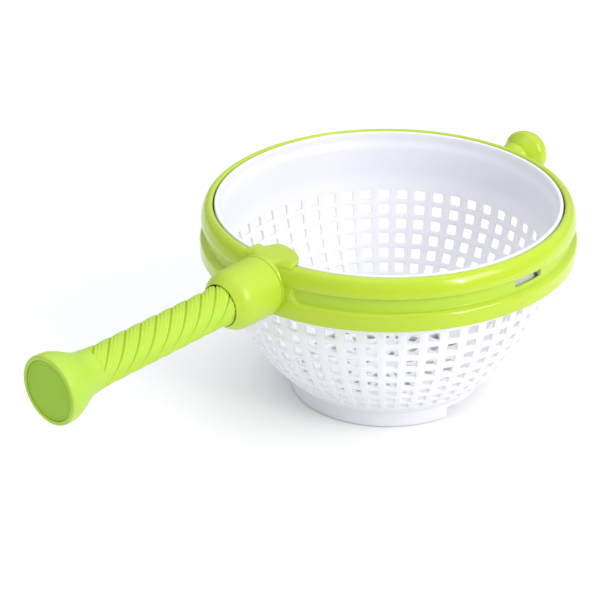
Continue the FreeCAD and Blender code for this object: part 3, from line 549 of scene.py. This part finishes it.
def rounded_lip():
    """The stations over the rim, from the outer flare to the inner one."""
    inner = LIP_RADIUS - LIP_THICK
    stations = [(WALL_RADIUS, RIM_HEIGHT - FLARE_HEIGHT)]
    flare_top = RIM_HEIGHT - LIP_BAND
    for share in (0.25, 0.5, 0.75):
        stations.append((WALL_RADIUS + (LIP_RADIUS - WALL_RADIUS) * ease(share),
                         RIM_HEIGHT - FLARE_HEIGHT + (FLARE_HEIGHT - LIP_BAND) * share))
    stations.append((LIP_RADIUS, flare_top))
    for step in range(5):
        angle = step * TURN / 16
        stations.append((LIP_RADIUS - LIP_ROUND * (1 - math.cos(angle)),
                         RIM_HEIGHT - LIP_ROUND * (1 - math.sin(angle))))
    for step in range(5):
        angle = TURN / 4 - step * TURN / 16
        stations.append((inner + LIP_ROUND * (1 - math.cos(angle)),
                         RIM_HEIGHT - LIP_ROUND * (1 - math.sin(angle))))
    stations.append((inner, flare_top))
    for share in (0.75, 0.5, 0.25, 0.0):
        stations.append((WALL_RADIUS - WALL + (inner - WALL_RADIUS + WALL) * ease(share),
                         RIM_HEIGHT - FLARE_HEIGHT + (FLARE_HEIGHT - LIP_BAND) * share))
    return stations


def race_ribs():
    """The stations of the ribs that the balls and the crown gear bear on, from the flare down."""
    stations = []
    for low, high in ((AXIS_HEIGHT + RIB_NEAR, AXIS_HEIGHT + RIB_FAR),
                      (AXIS_HEIGHT - RIB_FAR, AXIS_HEIGHT - RIB_NEAR),
                      (STOP_HEIGHT, STOP_HEIGHT + RIB_FAR - RIB_NEAR)):
        stations += [(WALL_RADIUS, high), (RIB_RADIUS, high), (RIB_RADIUS, low), (WALL_RADIUS, low)]
    return stations


def floor_rings():
    """(radius, count, half width, half length) of each ring of holes in the floor."""
    outermost = FLOOR_EDGE - FLOOR_EDGE_GAP
    side = FLOOR_STEP * HOLE_SHARE
    rings = []
    for ring in range(int(outermost / FLOOR_STEP)):
        radius = outermost - ring * FLOOR_STEP
        count = COLUMNS // 2 if radius > outermost / 2 else COLUMNS // 4
        wide = min(side, TURN * (radius - side / 2) / count * HOLE_SHARE)
        rings.append((radius, count, wide / 2, side / 2))
    return rings


def add_floor(bm, under, over):
    """The floor between its underside's edge and its top's edge, with rings of square holes."""
    middle = (FLOOR_HEIGHT + FLOOR_TOP) / 2
    low_edges, high_edges = [], []
    for row, edges in ((under, low_edges), (over, high_edges)):
        for number, vert in enumerate(row):
            after = row[(number + 1) % len(row)]
            edges.append(bm.edges.get((vert, after)) or bm.edges.new((vert, after)))
    for radius, count, half_wide, half_long in floor_rings():
        for number in range(count):
            turn = Matrix.Rotation(number * TURN / count, 3, "Z")
            loops = []
            for grow, depth in hole_levels(FLOOR_THICK):
                outline = hole_loop(half_long + grow, half_wide + grow, HOLE_CORNER + grow)
                loops.append([bm.verts.new(turn @ Vector((radius + x, y, middle - depth)))
                              for x, y in outline])
            for first, second in zip(loops, loops[1:]):
                strip(bm, first, second)
            for loop, edges in ((loops[0], low_edges), (loops[-1], high_edges)):
                for place, vert in enumerate(loop):
                    edges.append(bm.edges.get((vert, loop[(place + 1) % len(loop)])))
    for edges in (low_edges, high_edges):
        bmesh.ops.triangle_fill(bm, edges=edges, use_beauty=True, normal=(0, 0, 1))


def add_foot(bm, angles):
    """The foot in two arcs, and the underside's edge where it is cut away; returns the inner row."""
    inner = FOOT_RADIUS - FOOT_WALL
    top = ring_of(bm, FOOT_RADIUS, FLOOR_HEIGHT, angles)
    inside = ring_of(bm, inner, FLOOR_HEIGHT, angles)
    low = ring_of(bm, FOOT_RADIUS, 0, angles)
    low_inside = ring_of(bm, inner, 0, angles)
    count = len(angles)
    for number in range(count):
        after = (number + 1) % count
        middle = angles[number] + TURN / count / 2
        if in_gap(middle % TURN):
            bm.faces.new((top[number], top[after], inside[after], inside[number]))
            continue
        for first, second in ((top, low), (low, low_inside), (low_inside, inside)):
            bm.faces.new((first[number], first[after], second[after], second[number]))
        for here, beside in ((number, number - 1), (after, (after + 1) % count)):
            step = ((angles[beside] - angles[here] + math.pi) % TURN - math.pi) / 2
            if in_gap((angles[here] + step) % TURN):
                bm.faces.new((top[here], low[here], low_inside[here], inside[here]))
    loose = [v for v in low + low_inside if not v.link_faces]
    bmesh.ops.delete(bm, geom=loose, context="VERTS")
    return top, inside


def make_basket():
    """The bowl: drilled wall, rolled lip, race ribs, drilled floor and the foot in two arcs."""
    bm = bmesh.new()
    for column in range(COLUMNS):
        for row in range(ROWS):
            add_wall_cell(bm, column, row)
    angles = column_angles()
    half = WALL / 2
    first, last = ROW_START - ROW_STEP / 2, ROW_START + (ROWS - 0.5) * ROW_STEP
    upper = [0.0, first * 0.35, first * 0.7, first]
    foot_end = CURVE_MIDDLE * math.asin((CURVE_HEIGHT - FOOT_HEIGHT) / CURVE_RADIUS)
    outside = [wall_place(along, half) for along in reversed(upper)]
    inside = [wall_place(along, -half) for along in upper]
    rim = outside + list(reversed(race_ribs())) + rounded_lip() + inside
    rows_between(bm, rim, angles)
    shares = (0.0, 0.34, 0.67)
    lower = [wall_place(last + (foot_end - last) * share, half) for share in shares]
    rows = rows_between(bm, lower, angles)
    shifted = foot_angles()
    edge = ring_of(bm, FOOT_RADIUS, FOOT_HEIGHT, shifted)
    strip(bm, rows[-1], edge)
    top, under = add_foot(bm, shifted)
    strip(bm, edge, top)
    drop = math.asin((CURVE_HEIGHT - FLOOR_TOP) / (CURVE_RADIUS - WALL))
    floor_end = CURVE_MIDDLE * drop
    within = [wall_place(last + (floor_end - last) * share, -half) for share in (0.0, 0.25, 0.5, 0.75, 1.0)]
    rows = rows_between(bm, within, angles)
    add_floor(bm, under, rows[-1])
    return finish_mesh("basket_shell", bm, "basket_white", "basket", "basket", angle=38, edge=0.4)


# ---------------------------------------------------------------- turned pieces

def soften(outline, steps=6):
    """A closed outline of (radius, place, cut) corners, each rounded off over its cut."""
    points = []
    for number, (radius, place, reach) in enumerate(outline):
        here = Vector((radius, place))
        if not reach:
            points.append(here)
            continue
        before = Vector(outline[number - 1][:2]) - here
        after = Vector(outline[(number + 1) % len(outline)][:2]) - here
        first = here + before.normalized() * min(reach, before.length * 0.49)
        last = here + after.normalized() * min(reach, after.length * 0.49)
        for step in range(steps + 1):
            share = step / steps
            points.append(first.lerp(here, share).lerp(here.lerp(last, share), share))
    return points


def handle_point(radius, angle, along):
    """A point round the handle's axis, at a distance out from the basket's axis."""
    return Vector((-along, radius * math.sin(angle), AXIS_HEIGHT + radius * math.cos(angle)))


def knob_point(radius, angle, along):
    """A point round the knob's axis, at a distance out from the basket's axis."""
    return Vector((along, -radius * math.sin(angle), AXIS_HEIGHT + radius * math.cos(angle)))


def turned(bm, points, place, around):
    """A closed outline turned about an axis: place gives a point from radius, angle and distance."""
    angles = [TURN * number / around for number in range(around)]
    rows = [[bm.verts.new(place(p.x, a, p.y)) for a in angles] for p in points]
    for number, row in enumerate(rows):
        strip(bm, row, rows[(number + 1) % len(rows)])


def turned_piece(name, outline, place, slot, body, node, around=128, steps=6, angle=32):
    """A piece turned from one outline with softened corners."""
    bm = bmesh.new()
    turned(bm, soften(outline, steps), place, around)
    return finish_mesh(name, bm, slot, body, node, angle=angle)


def cutter(bm):
    """A bmesh in millimetres as a plain object to cut with."""
    bmesh.ops.recalc_face_normals(bm, faces=bm.faces)
    bmesh.ops.scale(bm, vec=(MM, MM, MM), verts=bm.verts)
    mesh = bpy.data.meshes.new("cutter")
    bm.to_mesh(mesh)
    bm.free()
    tool = bpy.data.objects.new("cutter", mesh)
    bpy.context.scene.collection.objects.link(tool)
    return tool


def carve(piece, bm, angle=32):
    """Cut a piece with a closed bmesh, and keep the result as its mesh."""
    tool = cutter(bm)
    change = piece.modifiers.new("carve", "BOOLEAN")
    change.operation = "DIFFERENCE"
    change.solver = "EXACT"
    change.object = tool
    graph = bpy.context.evaluated_depsgraph_get()
    result = bpy.data.meshes.new_from_object(piece.evaluated_get(graph))
    piece.modifiers.clear()
    piece.data = result
    bpy.data.objects.remove(tool)
    result.shade_smooth()
    result.set_sharp_from_angle(angle=math.radians(angle))


def bore_tool(radius, start, end):
    """A cylinder on the handle's axis to cut with."""
    bm = bmesh.new()
    outline = [Vector((0, start)), Vector((radius, start)), Vector((radius, end)), Vector((0, end))]
    turned(bm, outline, handle_point, 64)
    bmesh.ops.remove_doubles(bm, verts=bm.verts, dist=0.001)
    return bm


def prism_between(bm, rows):
    """A closed prism between two rows of vertices."""
    strip(bm, rows[0], rows[1])
    for row in rows:
        bm.faces.new(row)


# ---------------------------------------------------------------- ring

def make_crown():
    """The ring's upper half: a smooth crown that stands round the basket's lip."""
    outline = [
        (RIM_INNER, SKIRT_BASE, 0),
        (SKIRT_OUTER, SKIRT_BASE, 0),
        (SKIRT_OUTER, RING_TOP - ROOF_THICK, 0),
        (CROWN_TOP + 1.4, RING_TOP - ROOF_THICK, 0),
        (RIM_OUTER - CROWN_THICK, RING_TOP - 8.0, 0),
        (RIM_OUTER - CROWN_THICK, SEAM_HEIGHT + SEAM_GAP, 0),
        (RIM_OUTER - 0.15, SEAM_HEIGHT + SEAM_GAP, 0.25),
        (RIM_OUTER, SEAM_HEIGHT + 1.4, 0.8),
        (RIM_OUTER - 0.1, RING_TOP - 7.6, 3.6),
        (RIM_OUTER - 2.1, RING_TOP - 2.3, 3.2),
        (CROWN_TOP - 0.1, RING_TOP, 2.4),
        (RIM_INNER, RING_TOP - 0.75, 0.8),
    ]
    crown = turned_piece("ring_crown", outline, polar, "ring_green", "frame", "upper_ring", 240, 7)
    carve(crown, bore_tool(POCKET_RADIUS + POCKET_CLEARANCE, BOSS_START - 1.2, COLLAR_END))


def past_pad(angle):
    """How far round the ring an angle lies past the end of the groove nearest to it."""
    from_knob = abs((angle + math.pi) % TURN - math.pi)
    ends = ((math.pi - from_knob, HUB_PAD), (from_knob, KNOB_PAD))
    return min(GROOVE_FLOOR * (turn - math.asin(pad / GROOVE_FLOOR)) for turn, pad in ends)


def groove_depth(angle, height):
    """How deep the groove is: round ends and a soft fillet, with its top open away from the ends."""
    half = (SEAM_HEIGHT - FLANGE_TOP) / 2
    middle = (SEAM_HEIGHT + FLANGE_TOP) / 2
    past = past_pad(angle)
    if past < half:
        inside = half - math.hypot(past - half, height - middle)
    else:
        open_top = GROOVE_OPENING * ease((past - half) / GROOVE_OPENING_RUN)
        inside = min(height - FLANGE_TOP, SEAM_HEIGHT - height + open_top)
    return (PAD_RADIUS - GROOVE_FLOOR) * ease((inside + GROOVE_LEAD) / (GROOVE_FILLET + GROOVE_LEAD))


def band_angles():
    """Angles round the ring, close together where the groove ends."""
    fine, coarse = math.radians(0.25), math.radians(1.5)
    angles, angle = [], 0.0
    while angle < TURN - 1e-6:
        angles.append(angle)
        angle += fine if -3.0 < past_pad(angle) < 18.0 else coarse
    return angles


def band_stations():
    """(radius, height) up the band's outside below the groove: hem, wall and half-round bead."""
    hem = soften([(FLANGE_INNER, RING_BASE, 0), (FLANGE_RADIUS, RING_BASE, 1.2),
                  (FLANGE_RADIUS, BEAD_HEIGHT, 0)])
    stations = [(p.x, p.y) for p in hem[1:]]
    centre = FLANGE_RADIUS - BEAD_ROUND
    sweep = math.acos((PAD_RADIUS - centre) / BEAD_ROUND)
    for step in range(1, 8):
        turn = sweep * step / 8
        stations.append((centre + BEAD_ROUND * math.cos(turn), BEAD_HEIGHT + BEAD_ROUND * math.sin(turn)))
    return stations


def paint_groove_shade(band):
    """Lay a duller copy of the ring's green on the groove's floor as painted shade in the recess."""
    band.data.materials.append(MATERIALS["groove_shade_green"])
    for face in band.data.polygons:
        reach = math.hypot(face.center.x, face.center.y) / MM
        if FLANGE_TOP < face.center.z / MM < SEAM_HEIGHT and reach < GROOVE_FLOOR + 0.5:
            face.material_index = 1


def make_band():
    """The ring's lower half: a band with a sunk groove over a half-round bead."""
    bm = bmesh.new()
    angles = band_angles()
    rows = [ring_of(bm, radius, height, angles) for radius, height in band_stations()]
    steps = 34
    for step in range(steps + 1):
        height = FLANGE_TOP + (SEAM_HEIGHT - FLANGE_TOP) * step / steps
        row = [bm.verts.new(polar(PAD_RADIUS - groove_depth(a, height), a, height)) for a in angles]
        rows.append(row)
    inside = [(TONGUE_OUTER, SEAM_HEIGHT), (TONGUE_OUTER, TONGUE_TOP), (SEAT_RADIUS, TONGUE_TOP),
              (SEAT_RADIUS, SHELF_TOP), (SHELF_INNER, SHELF_TOP), (SHELF_INNER, CHANNEL_TOP),
              (FLANGE_INNER, CHANNEL_TOP), (FLANGE_INNER, RING_BASE)]
    rows += [ring_of(bm, radius, height, angles) for radius, height in inside]
    for number, row in enumerate(rows):
        strip(bm, row, rows[(number + 1) % len(rows)])
    band = finish_mesh("ring_band", bm, "ring_green", "frame", "lower_ring", angle=32)
    carve(band, slot_tool())
    # painted shade: the groove's floor gets the duller copy of the green
    paint_groove_shade(band)
    carve(band, bore_tool(POCKET_RADIUS, SEAT_RADIUS - 4, COLLAR_END))


def slot_tool():
    """The long window through which the balls are loaded, with round corners."""
    bm = bmesh.new()
    top = SEAM_HEIGHT - SLOT_DROP
    centre = top - SLOT_TALL / 2
    half_long, half_tall = SLOT_LENGTH / 2 - SLOT_ROUND, SLOT_TALL / 2 - SLOT_ROUND
    outline = []
    for corner, (x, y) in enumerate(((1, 1), (-1, 1), (-1, -1), (1, -1))):
        for step in range(9):
            angle = (corner + step / 8) * TURN / 4
            outline.append((x * half_long + SLOT_ROUND * math.cos(angle),
                            y * half_tall + SLOT_ROUND * math.sin(angle)))
    turn = Matrix.Rotation(math.radians(SLOT_PLACE), 3, "Z")
    near, far = SHELF_INNER - 1, FLANGE_RADIUS + 2
    rows = [[bm.verts.new(turn @ Vector((reach, x, centre + y))) for x, y in outline]
            for reach in (near, far)]
    prism_between(bm, rows)
    return bm


def make_bosses():
    """The round boss behind the hub, with its collar, and the one behind the knob's neck."""
    outline = [
        (POCKET_RADIUS, BOSS_START, 0),
        (BOSS_RADIUS + 0.5, BOSS_START, 0),
        (BOSS_RADIUS, BOSS_START + 1.8, 1.6),
        (BOSS_RADIUS, BOSS_END - 0.5, 0.7),
        (BOSS_RADIUS - 0.6, BOSS_END, 0.3),
        (COLLAR_RADIUS, BOSS_END, 0),
        (COLLAR_RADIUS, COLLAR_END, 0.3),
        (POCKET_RADIUS, COLLAR_END, 0),
    ]
    turned_piece("hub_boss", outline, handle_point, "ring_green", "frame", "lower_ring")
    outline = [
        (0, BOSS_START, 0),
        (KNOB_BOSS + 4.0, BOSS_START, 0),
        (KNOB_BOSS + 1.0, BOSS_START + 2.0, 1.6),
        (KNOB_BOSS, KNOB_BOSS_END - 0.5, 1.2),
        (KNOB_BOSS - 0.6, KNOB_BOSS_END, 0.4),
        (0, KNOB_BOSS_END, 0),
    ]
    turned_piece("knob_boss", outline, knob_point, "ring_green", "frame", "lower_ring", 96)


def lobe_edge(y):
    """How far in over the basket the lobe reaches at a place across it: a tongue beside one ear."""
    half_wide, power = LOBE_TONGUE_SIDES["left" if y > LOBE_TONGUE_MIDDLE else "right"]
    share = abs(y - LOBE_TONGUE_MIDDLE) / half_wide
    tongue = LOBE_TONGUE_PLACE + LOBE_TONGUE_REACH * max(0.0, 1 - share ** power) ** (1 / power)
    ear = LOBE_EAR_PLACE + math.sqrt(max(0.0, LOBE_EAR_RADIUS ** 2 - (y - LOBE_EAR_MIDDLE) ** 2))
    further, nearer = max(tongue, ear), min(tongue, ear)
    return further + LOBE_BLEND * math.log(1 + math.exp((nearer - further) / LOBE_BLEND))


def ring_surface(x, y):
    """The height of the crown, or of the hub's boss where that stands higher."""
    out = min(1.0, max(0.0, (math.hypot(x, y) - CROWN_TOP) / (RIM_OUTER - CROWN_TOP + 0.1)))
    crown = RING_TOP - (RING_TOP - SEAM_HEIGHT) * (1 - math.sqrt(1 - out ** 2))
    boss = AXIS_HEIGHT + math.sqrt(max(0.0, BOSS_RADIUS ** 2 - y ** 2))
    return max(crown, boss) if x < -CROWN_TOP - 1 else crown


def make_lobe():
    """The rounded lobe that keeps the basket down, its back sunk softly into the crown."""
    bm = bmesh.new()
    steps, nose, back = 150, 8, 12
    half = (LOBE_LEFT - LOBE_RIGHT) / 2
    middle = (LOBE_LEFT + LOBE_RIGHT) / 2
    thick = LOBE_TOP - LOBE_BASE
    rows = []
    for step in range(steps + 1):
        y = middle + half * math.sin(math.pi * (step / steps - 0.5))
        top = LOBE_TOP - LOBE_SHOULDER * (1 - ease((half - abs(y - middle)) / LOBE_SHOULDER_RUN))
        front = lobe_edge(y) - thick / 2
        reach = LOBE_BACK + LOBE_BACK_STEP * ease((LOBE_BACK_HALF - abs(y)) / LOBE_BACK_RUN)
        behind = -math.sqrt(reach ** 2 - y ** 2)
        row = [(behind, ring_surface(behind, y) - LOBE_ROOT)]
        for number in range(back + 1):
            x = behind + (front - behind) * number / back
            sunk = ease((behind + LOBE_SINK_RUN - x) / LOBE_SINK_RUN)
            row.append((x, top + (ring_surface(x, y) - LOBE_SINK - top) * sunk))
        drop = (top - LOBE_BASE) / 2
        for turn in range(1, nose + 1):
            angle = TURN / 4 - math.pi * turn / nose
            row.append((front + thick / 2 * math.cos(angle), top - drop + drop * math.sin(angle)))
        row.append((-CROWN_TOP + 2.2, LOBE_BASE))
        row.append((-CROWN_TOP + 1.0, LOBE_BASE - 1.2))
        rows.append([bm.verts.new((x, y, z)) for x, z in row])
    for first, second in zip(rows, rows[1:]):
        strip(bm, first, second)
    for row in (rows[0], rows[-1]):
        bm.faces.new(row)
    return finish_mesh("keeper_lobe", bm, "ring_green", "frame", "basket_keeper", angle=50)


# ---------------------------------------------------------------- hub, bell and knob

def well_tool(angle):
    """The round well of a hub screw, at an angle round the handle's axis."""
    bm = bmesh.new()
    outward = Vector((0, math.sin(angle), math.cos(angle)))
    across = Vector((0, math.cos(angle), -math.sin(angle)))
    along = Vector((1, 0, 0))
    axis = Vector((-SCREW_PLACE, 0, AXIS_HEIGHT))
    turns = [TURN * number / 40 for number in range(40)]
    rows = []
    for reach in (SCREW_SEAT, HUB_RADIUS + 3):
        centre = axis + outward * reach
        rows.append([bm.verts.new(centre + (across * math.cos(t) + along * math.sin(t)) * SCREW_HEAD)
                     for t in turns])
    prism_between(bm, rows)
    return bm


def make_hub():
    """The hub's shell, with a domed front round the grip and two screw wells underneath."""
    outline = [
        (HUB_BORE, HUB_START, 0),
        (HUB_RADIUS - 0.5, HUB_START, 0.35),
        (HUB_RADIUS, HUB_START + 0.9, 0.7),
        (HUB_FRONT, HUB_SHOULDER, 3.9),
        (HUB_MOUTH, HUB_END, 1.6),
        (HUB_MOUTH, HUB_STOP, 0),
        (HUB_MOUTH + 0.5, HUB_STOP, 0),
        (HUB_MOUTH + 0.5, HUB_STOP - 7.0, 0),
        (HUB_BORE - HUB_STEP, HUB_STOP - 7.0, 0),
        (HUB_BORE - HUB_STEP, HUB_STOP - 9.8, 0),
        (HUB_BORE, HUB_STOP - 9.8, 0),
    ]
    hub = turned_piece("hub_shell", outline, handle_point, "hub_green", "frame", "hub_housing", 160, 8)
    for side in (-1, 1):
        carve(hub, well_tool(math.pi + side * math.radians(SCREW_ANGLE)))


def make_bell():
    """The bell at the handle's end and the disc let into it."""
    outline = [
        (GRIP_BORE, BELL_START, 0),
        (BELL_NECK, BELL_START, 0.4),
        (BELL_WAIST, BELL_START + 7.4, 4.0),
        (BELL_FLARE, BELL_START + 20.9, 5.0),
        (BELL_RADIUS, BELL_END - 3.4, 1.4),
        (BELL_RADIUS, BELL_END, 2.0),
        (CAP_RADIUS + CAP_CLEARANCE, BELL_END, 0.6),
        (CAP_RADIUS + CAP_CLEARANCE, CAP_BASE - 0.1, 0),
        (CAP_RADIUS - 1.4, CAP_BASE - 0.1, 0),
        (CAP_RADIUS - 1.4, BELL_END - 7.0, 0),
        (BELL_HOLLOW, BELL_START + 12.7, 0),
        (CORE_HOLE, BELL_START + 12.7, 0),
        (CORE_HOLE, BELL_START + 9.4, 0),
        (GRIP_BORE, BELL_START + 9.4, 0),
    ]
    turned_piece("end_bell_shell", outline, handle_point, "bell_green", "handle", "end_bell", 160, 8)
    outline = [
        (0, CAP_BASE, 0),
        (CAP_RADIUS, CAP_BASE, 0),
        (CAP_RADIUS, CAP_TOP, 0.45),
        (CAP_RADIUS - 1.7, CAP_TOP, 0.2),
        (CAP_RADIUS - 1.9, CAP_TOP - 0.16, 0.1),
        (CAP_RADIUS - 2.3, CAP_TOP - 0.16, 0.1),
        (CAP_RADIUS - 2.6, CAP_TOP, 0.2),
        (CAP_RADIUS * 0.5, CAP_TOP + 0.14, 5.0),
        (0, CAP_TOP + 0.18, 0),
    ]
    turned_piece("bell_disc", outline, handle_point, "cap_green", "handle", "end_cap", 128, 4)


def make_knob():
    """The collared neck and the flared head of the rest knob, with a groove between them."""
    outline = [
        (SPIGOT_BORE, NECK_START, 0),
        (NECK_RADIUS - 0.2, NECK_START, 0.3),
        (NECK_RADIUS + 0.1, NECK_START + 6.0, 4.0),
        (NECK_COLLAR, NECK_END - 3.6, 0.7),
        (NECK_COLLAR - 0.5, NECK_END - 2.2, 0.7),
        (NECK_GROOVE, NECK_END - 1.6, 0.3),
        (NECK_GROOVE, NECK_END, 0),
        (SPIGOT_BORE, NECK_END, 0),
    ]
    turned_piece("trumpet_neck", outline, knob_point, "ring_green", "frame", "knob_neck", 128, 10)
    outline = [
        (SPIGOT_BORE, KNOB_START, 0),
        (NECK_GROOVE + 0.1, KNOB_START, 0.2),
        (NECK_COLLAR, KNOB_START + 1.6, 1.4),
        (KNOB_FLARE, KNOB_START + 6.4, 1.8),
        (KNOB_FLARE - 0.1, KNOB_START + 10.0, 3.0),
        (KNOB_FLARE - 1.9, KNOB_START + 14.8, 3.6),
        (KNOB_FACE, KNOB_END, 2.6),
        (KNOB_RECESS, KNOB_END, 0.8),
        (KNOB_RECESS, KNOB_END - 8.0, 0),
        (CORE_HOLE, KNOB_END - 8.0, 0),
        (CORE_HOLE, KNOB_END - 11.0, 0),
        (SPIGOT_BORE, KNOB_END - 11.0, 0),
    ]
    turned_piece("knob_head", outline, knob_point, "ring_green", "frame", "rest_knob", 160, 9)


# ---------------------------------------------------------------- grip

def grip_radius(angle, along):
    """The grip's surface: slanting strands like a rope's, each with fine ribs."""
    phase = STRANDS * angle / TURN + (along - GRIP_START) / STRAND_PITCH
    across = phase - math.floor(phase)
    strand = STRAND_SWELL * math.sin(math.pi * across ** STRAND_LEAN)
    ribs = RIB_SWELL * abs(math.sin(math.pi * RIBS_IN_STRAND * across))
    groove = STRAND_GROOVE * math.exp(-(min(across, 1 - across) / STRAND_GROOVE_SHARE) ** 2)
    at_hub = HUB_SWELL * ease((HUB_END + HUB_SWELL_PAST - along) / HUB_SWELL_RUN)
    at_bell = BELL_SWELL * ease((along - GRIP_END + BELL_SWELL_RUN) / BELL_SWELL_RUN)
    return GRIP_RADIUS - STRAND_SINK + strand + ribs - groove + at_hub + at_bell


def make_grip():
    """The soft sleeve with its twisted ribs."""
    bm = bmesh.new()
    round_steps, along_steps = 336, 290
    angles = [TURN * n / round_steps for n in range(round_steps)]
    rows = []
    start = [bm.verts.new(handle_point(GRIP_BORE, a, GRIP_START)) for a in angles]
    rows.append(start)
    for step in range(along_steps + 1):
        along = GRIP_START + (GRIP_END - GRIP_START) * step / along_steps
        rows.append([bm.verts.new(handle_point(grip_radius(a, along), a, along)) for a in angles])
    rows.append([bm.verts.new(handle_point(GRIP_BORE, a, GRIP_END)) for a in angles])
    for first, second in zip(rows, rows[1:]):
        strip(bm, first, second)
    strip(bm, rows[-1], rows[0])
    return finish_mesh("twisted_grip", bm, "grip_green", "handle", "grip_sleeve", angle=60)


# ---------------------------------------------------------------- setting

def make_floor():
    """The pale tabletop under the foot."""
    bpy.ops.mesh.primitive_plane_add(size=FLOOR_SIZE, location=(0, 0, CAD_BOX[0].z - FLOOR_DROP))
    floor = bpy.context.object
    floor.name = "tabletop"
    floor.data.materials.append(floor_material())


def area_light(name, place, aim, width, height, watts, colour=(1, 1, 1)):
    """A soft rectangular light that faces a point."""
    lamp = bpy.data.lights.new(name, "AREA")
    lamp.shape = "RECTANGLE"
    lamp.size, lamp.size_y = width, height
    lamp.energy = watts
    lamp.color = colour
    light = bpy.data.objects.new(name, lamp)
    light.location = place
    light.rotation_euler = (Vector(aim) - Vector(place)).to_track_quat("-Z", "Y").to_euler()
    bpy.context.scene.collection.objects.link(light)
    return light


RIGHT = Vector((math.cos(CAMERA_TURN), math.sin(CAMERA_TURN), 0))
AWAY = Vector((-math.sin(CAMERA_TURN), math.cos(CAMERA_TURN), 0))
UP = Vector((0, 0, 1))


def stand(right, away, up):
    """A place given across, away from and above the camera's view of the bowl."""
    return RIGHT * right + AWAY * away + UP * up


def make_world():
    """A soft white room, brighter overhead than at the horizon and brighter on its right."""
    world = bpy.data.worlds.new("studio")
    world.use_nodes = True
    nodes, links = world.node_tree.nodes, world.node_tree.links
    place = nodes.new("ShaderNodeTexCoord")
    split = nodes.new("ShaderNodeSeparateXYZ")
    links.new(place.outputs["Generated"], split.inputs["Vector"])
    across = nodes.new("ShaderNodeVectorMath")
    across.operation = "DOT_PRODUCT"
    across.inputs[1].default_value = RIGHT
    links.new(place.outputs["Generated"], across.inputs[0])
    height = ramp_of(nodes, links, split.outputs["Z"], 0.0, 0.8, 0.38, 1.0)
    side = ramp_of(nodes, links, across.outputs["Value"], -0.8, 0.8, 0.95, 1.2)
    both = nodes.new("ShaderNodeMath")
    both.operation = "MULTIPLY"
    links.new(height, both.inputs[0])
    links.new(side, both.inputs[1])
    links.new(both.outputs["Value"], nodes["Background"].inputs["Strength"])
    nodes["Background"].inputs["Color"].default_value = (0.95, 0.955, 1.0, 1)
    bpy.context.scene.world = world


def make_lights():
    """A large soft key from the right and the front, a top fill and a thin strip for highlights."""
    target = (-0.03, 0, 0.08)
    area_light("key", stand(1.0, -0.75, 0.95), target, 0.7, 0.7, 7.8)
    area_light("top", stand(-0.1, -0.1, 1.5), target, 1.2, 1.2, 4)
    area_light("strip", stand(0.75, -0.9, 0.62), target, 0.04, 0.36, 2.6)


def make_camera():
    """The camera at the photograph's viewing angle."""
    camera = bpy.data.objects.new("camera", bpy.data.cameras.new("camera"))
    camera.data.lens = CAMERA_LENS
    camera.data.sensor_width = CAMERA_SENSOR
    turn = Matrix.Rotation(CAMERA_TURN, 4, "Z") @ Matrix.Rotation(CAMERA_TILT, 4, "X")
    roll = Matrix.Rotation(CAMERA_ROLL, 4, "Z")
    camera.matrix_world = Matrix.Translation(CAMERA_PLACE) @ turn @ roll
    bpy.context.scene.collection.objects.link(camera)
    bpy.context.scene.camera = camera


def set_look():
    """Plain colours, without a film curve."""
    bpy.context.scene.view_settings.view_transform = "Standard"
    bpy.context.scene.view_settings.look = "None"


paint_frame()
make_basket()
make_crown()
make_band()
make_bosses()
make_lobe()
make_hub()
make_grip()
make_bell()
make_knob()
make_floor()
make_world()
make_lights()
make_camera()
set_look()
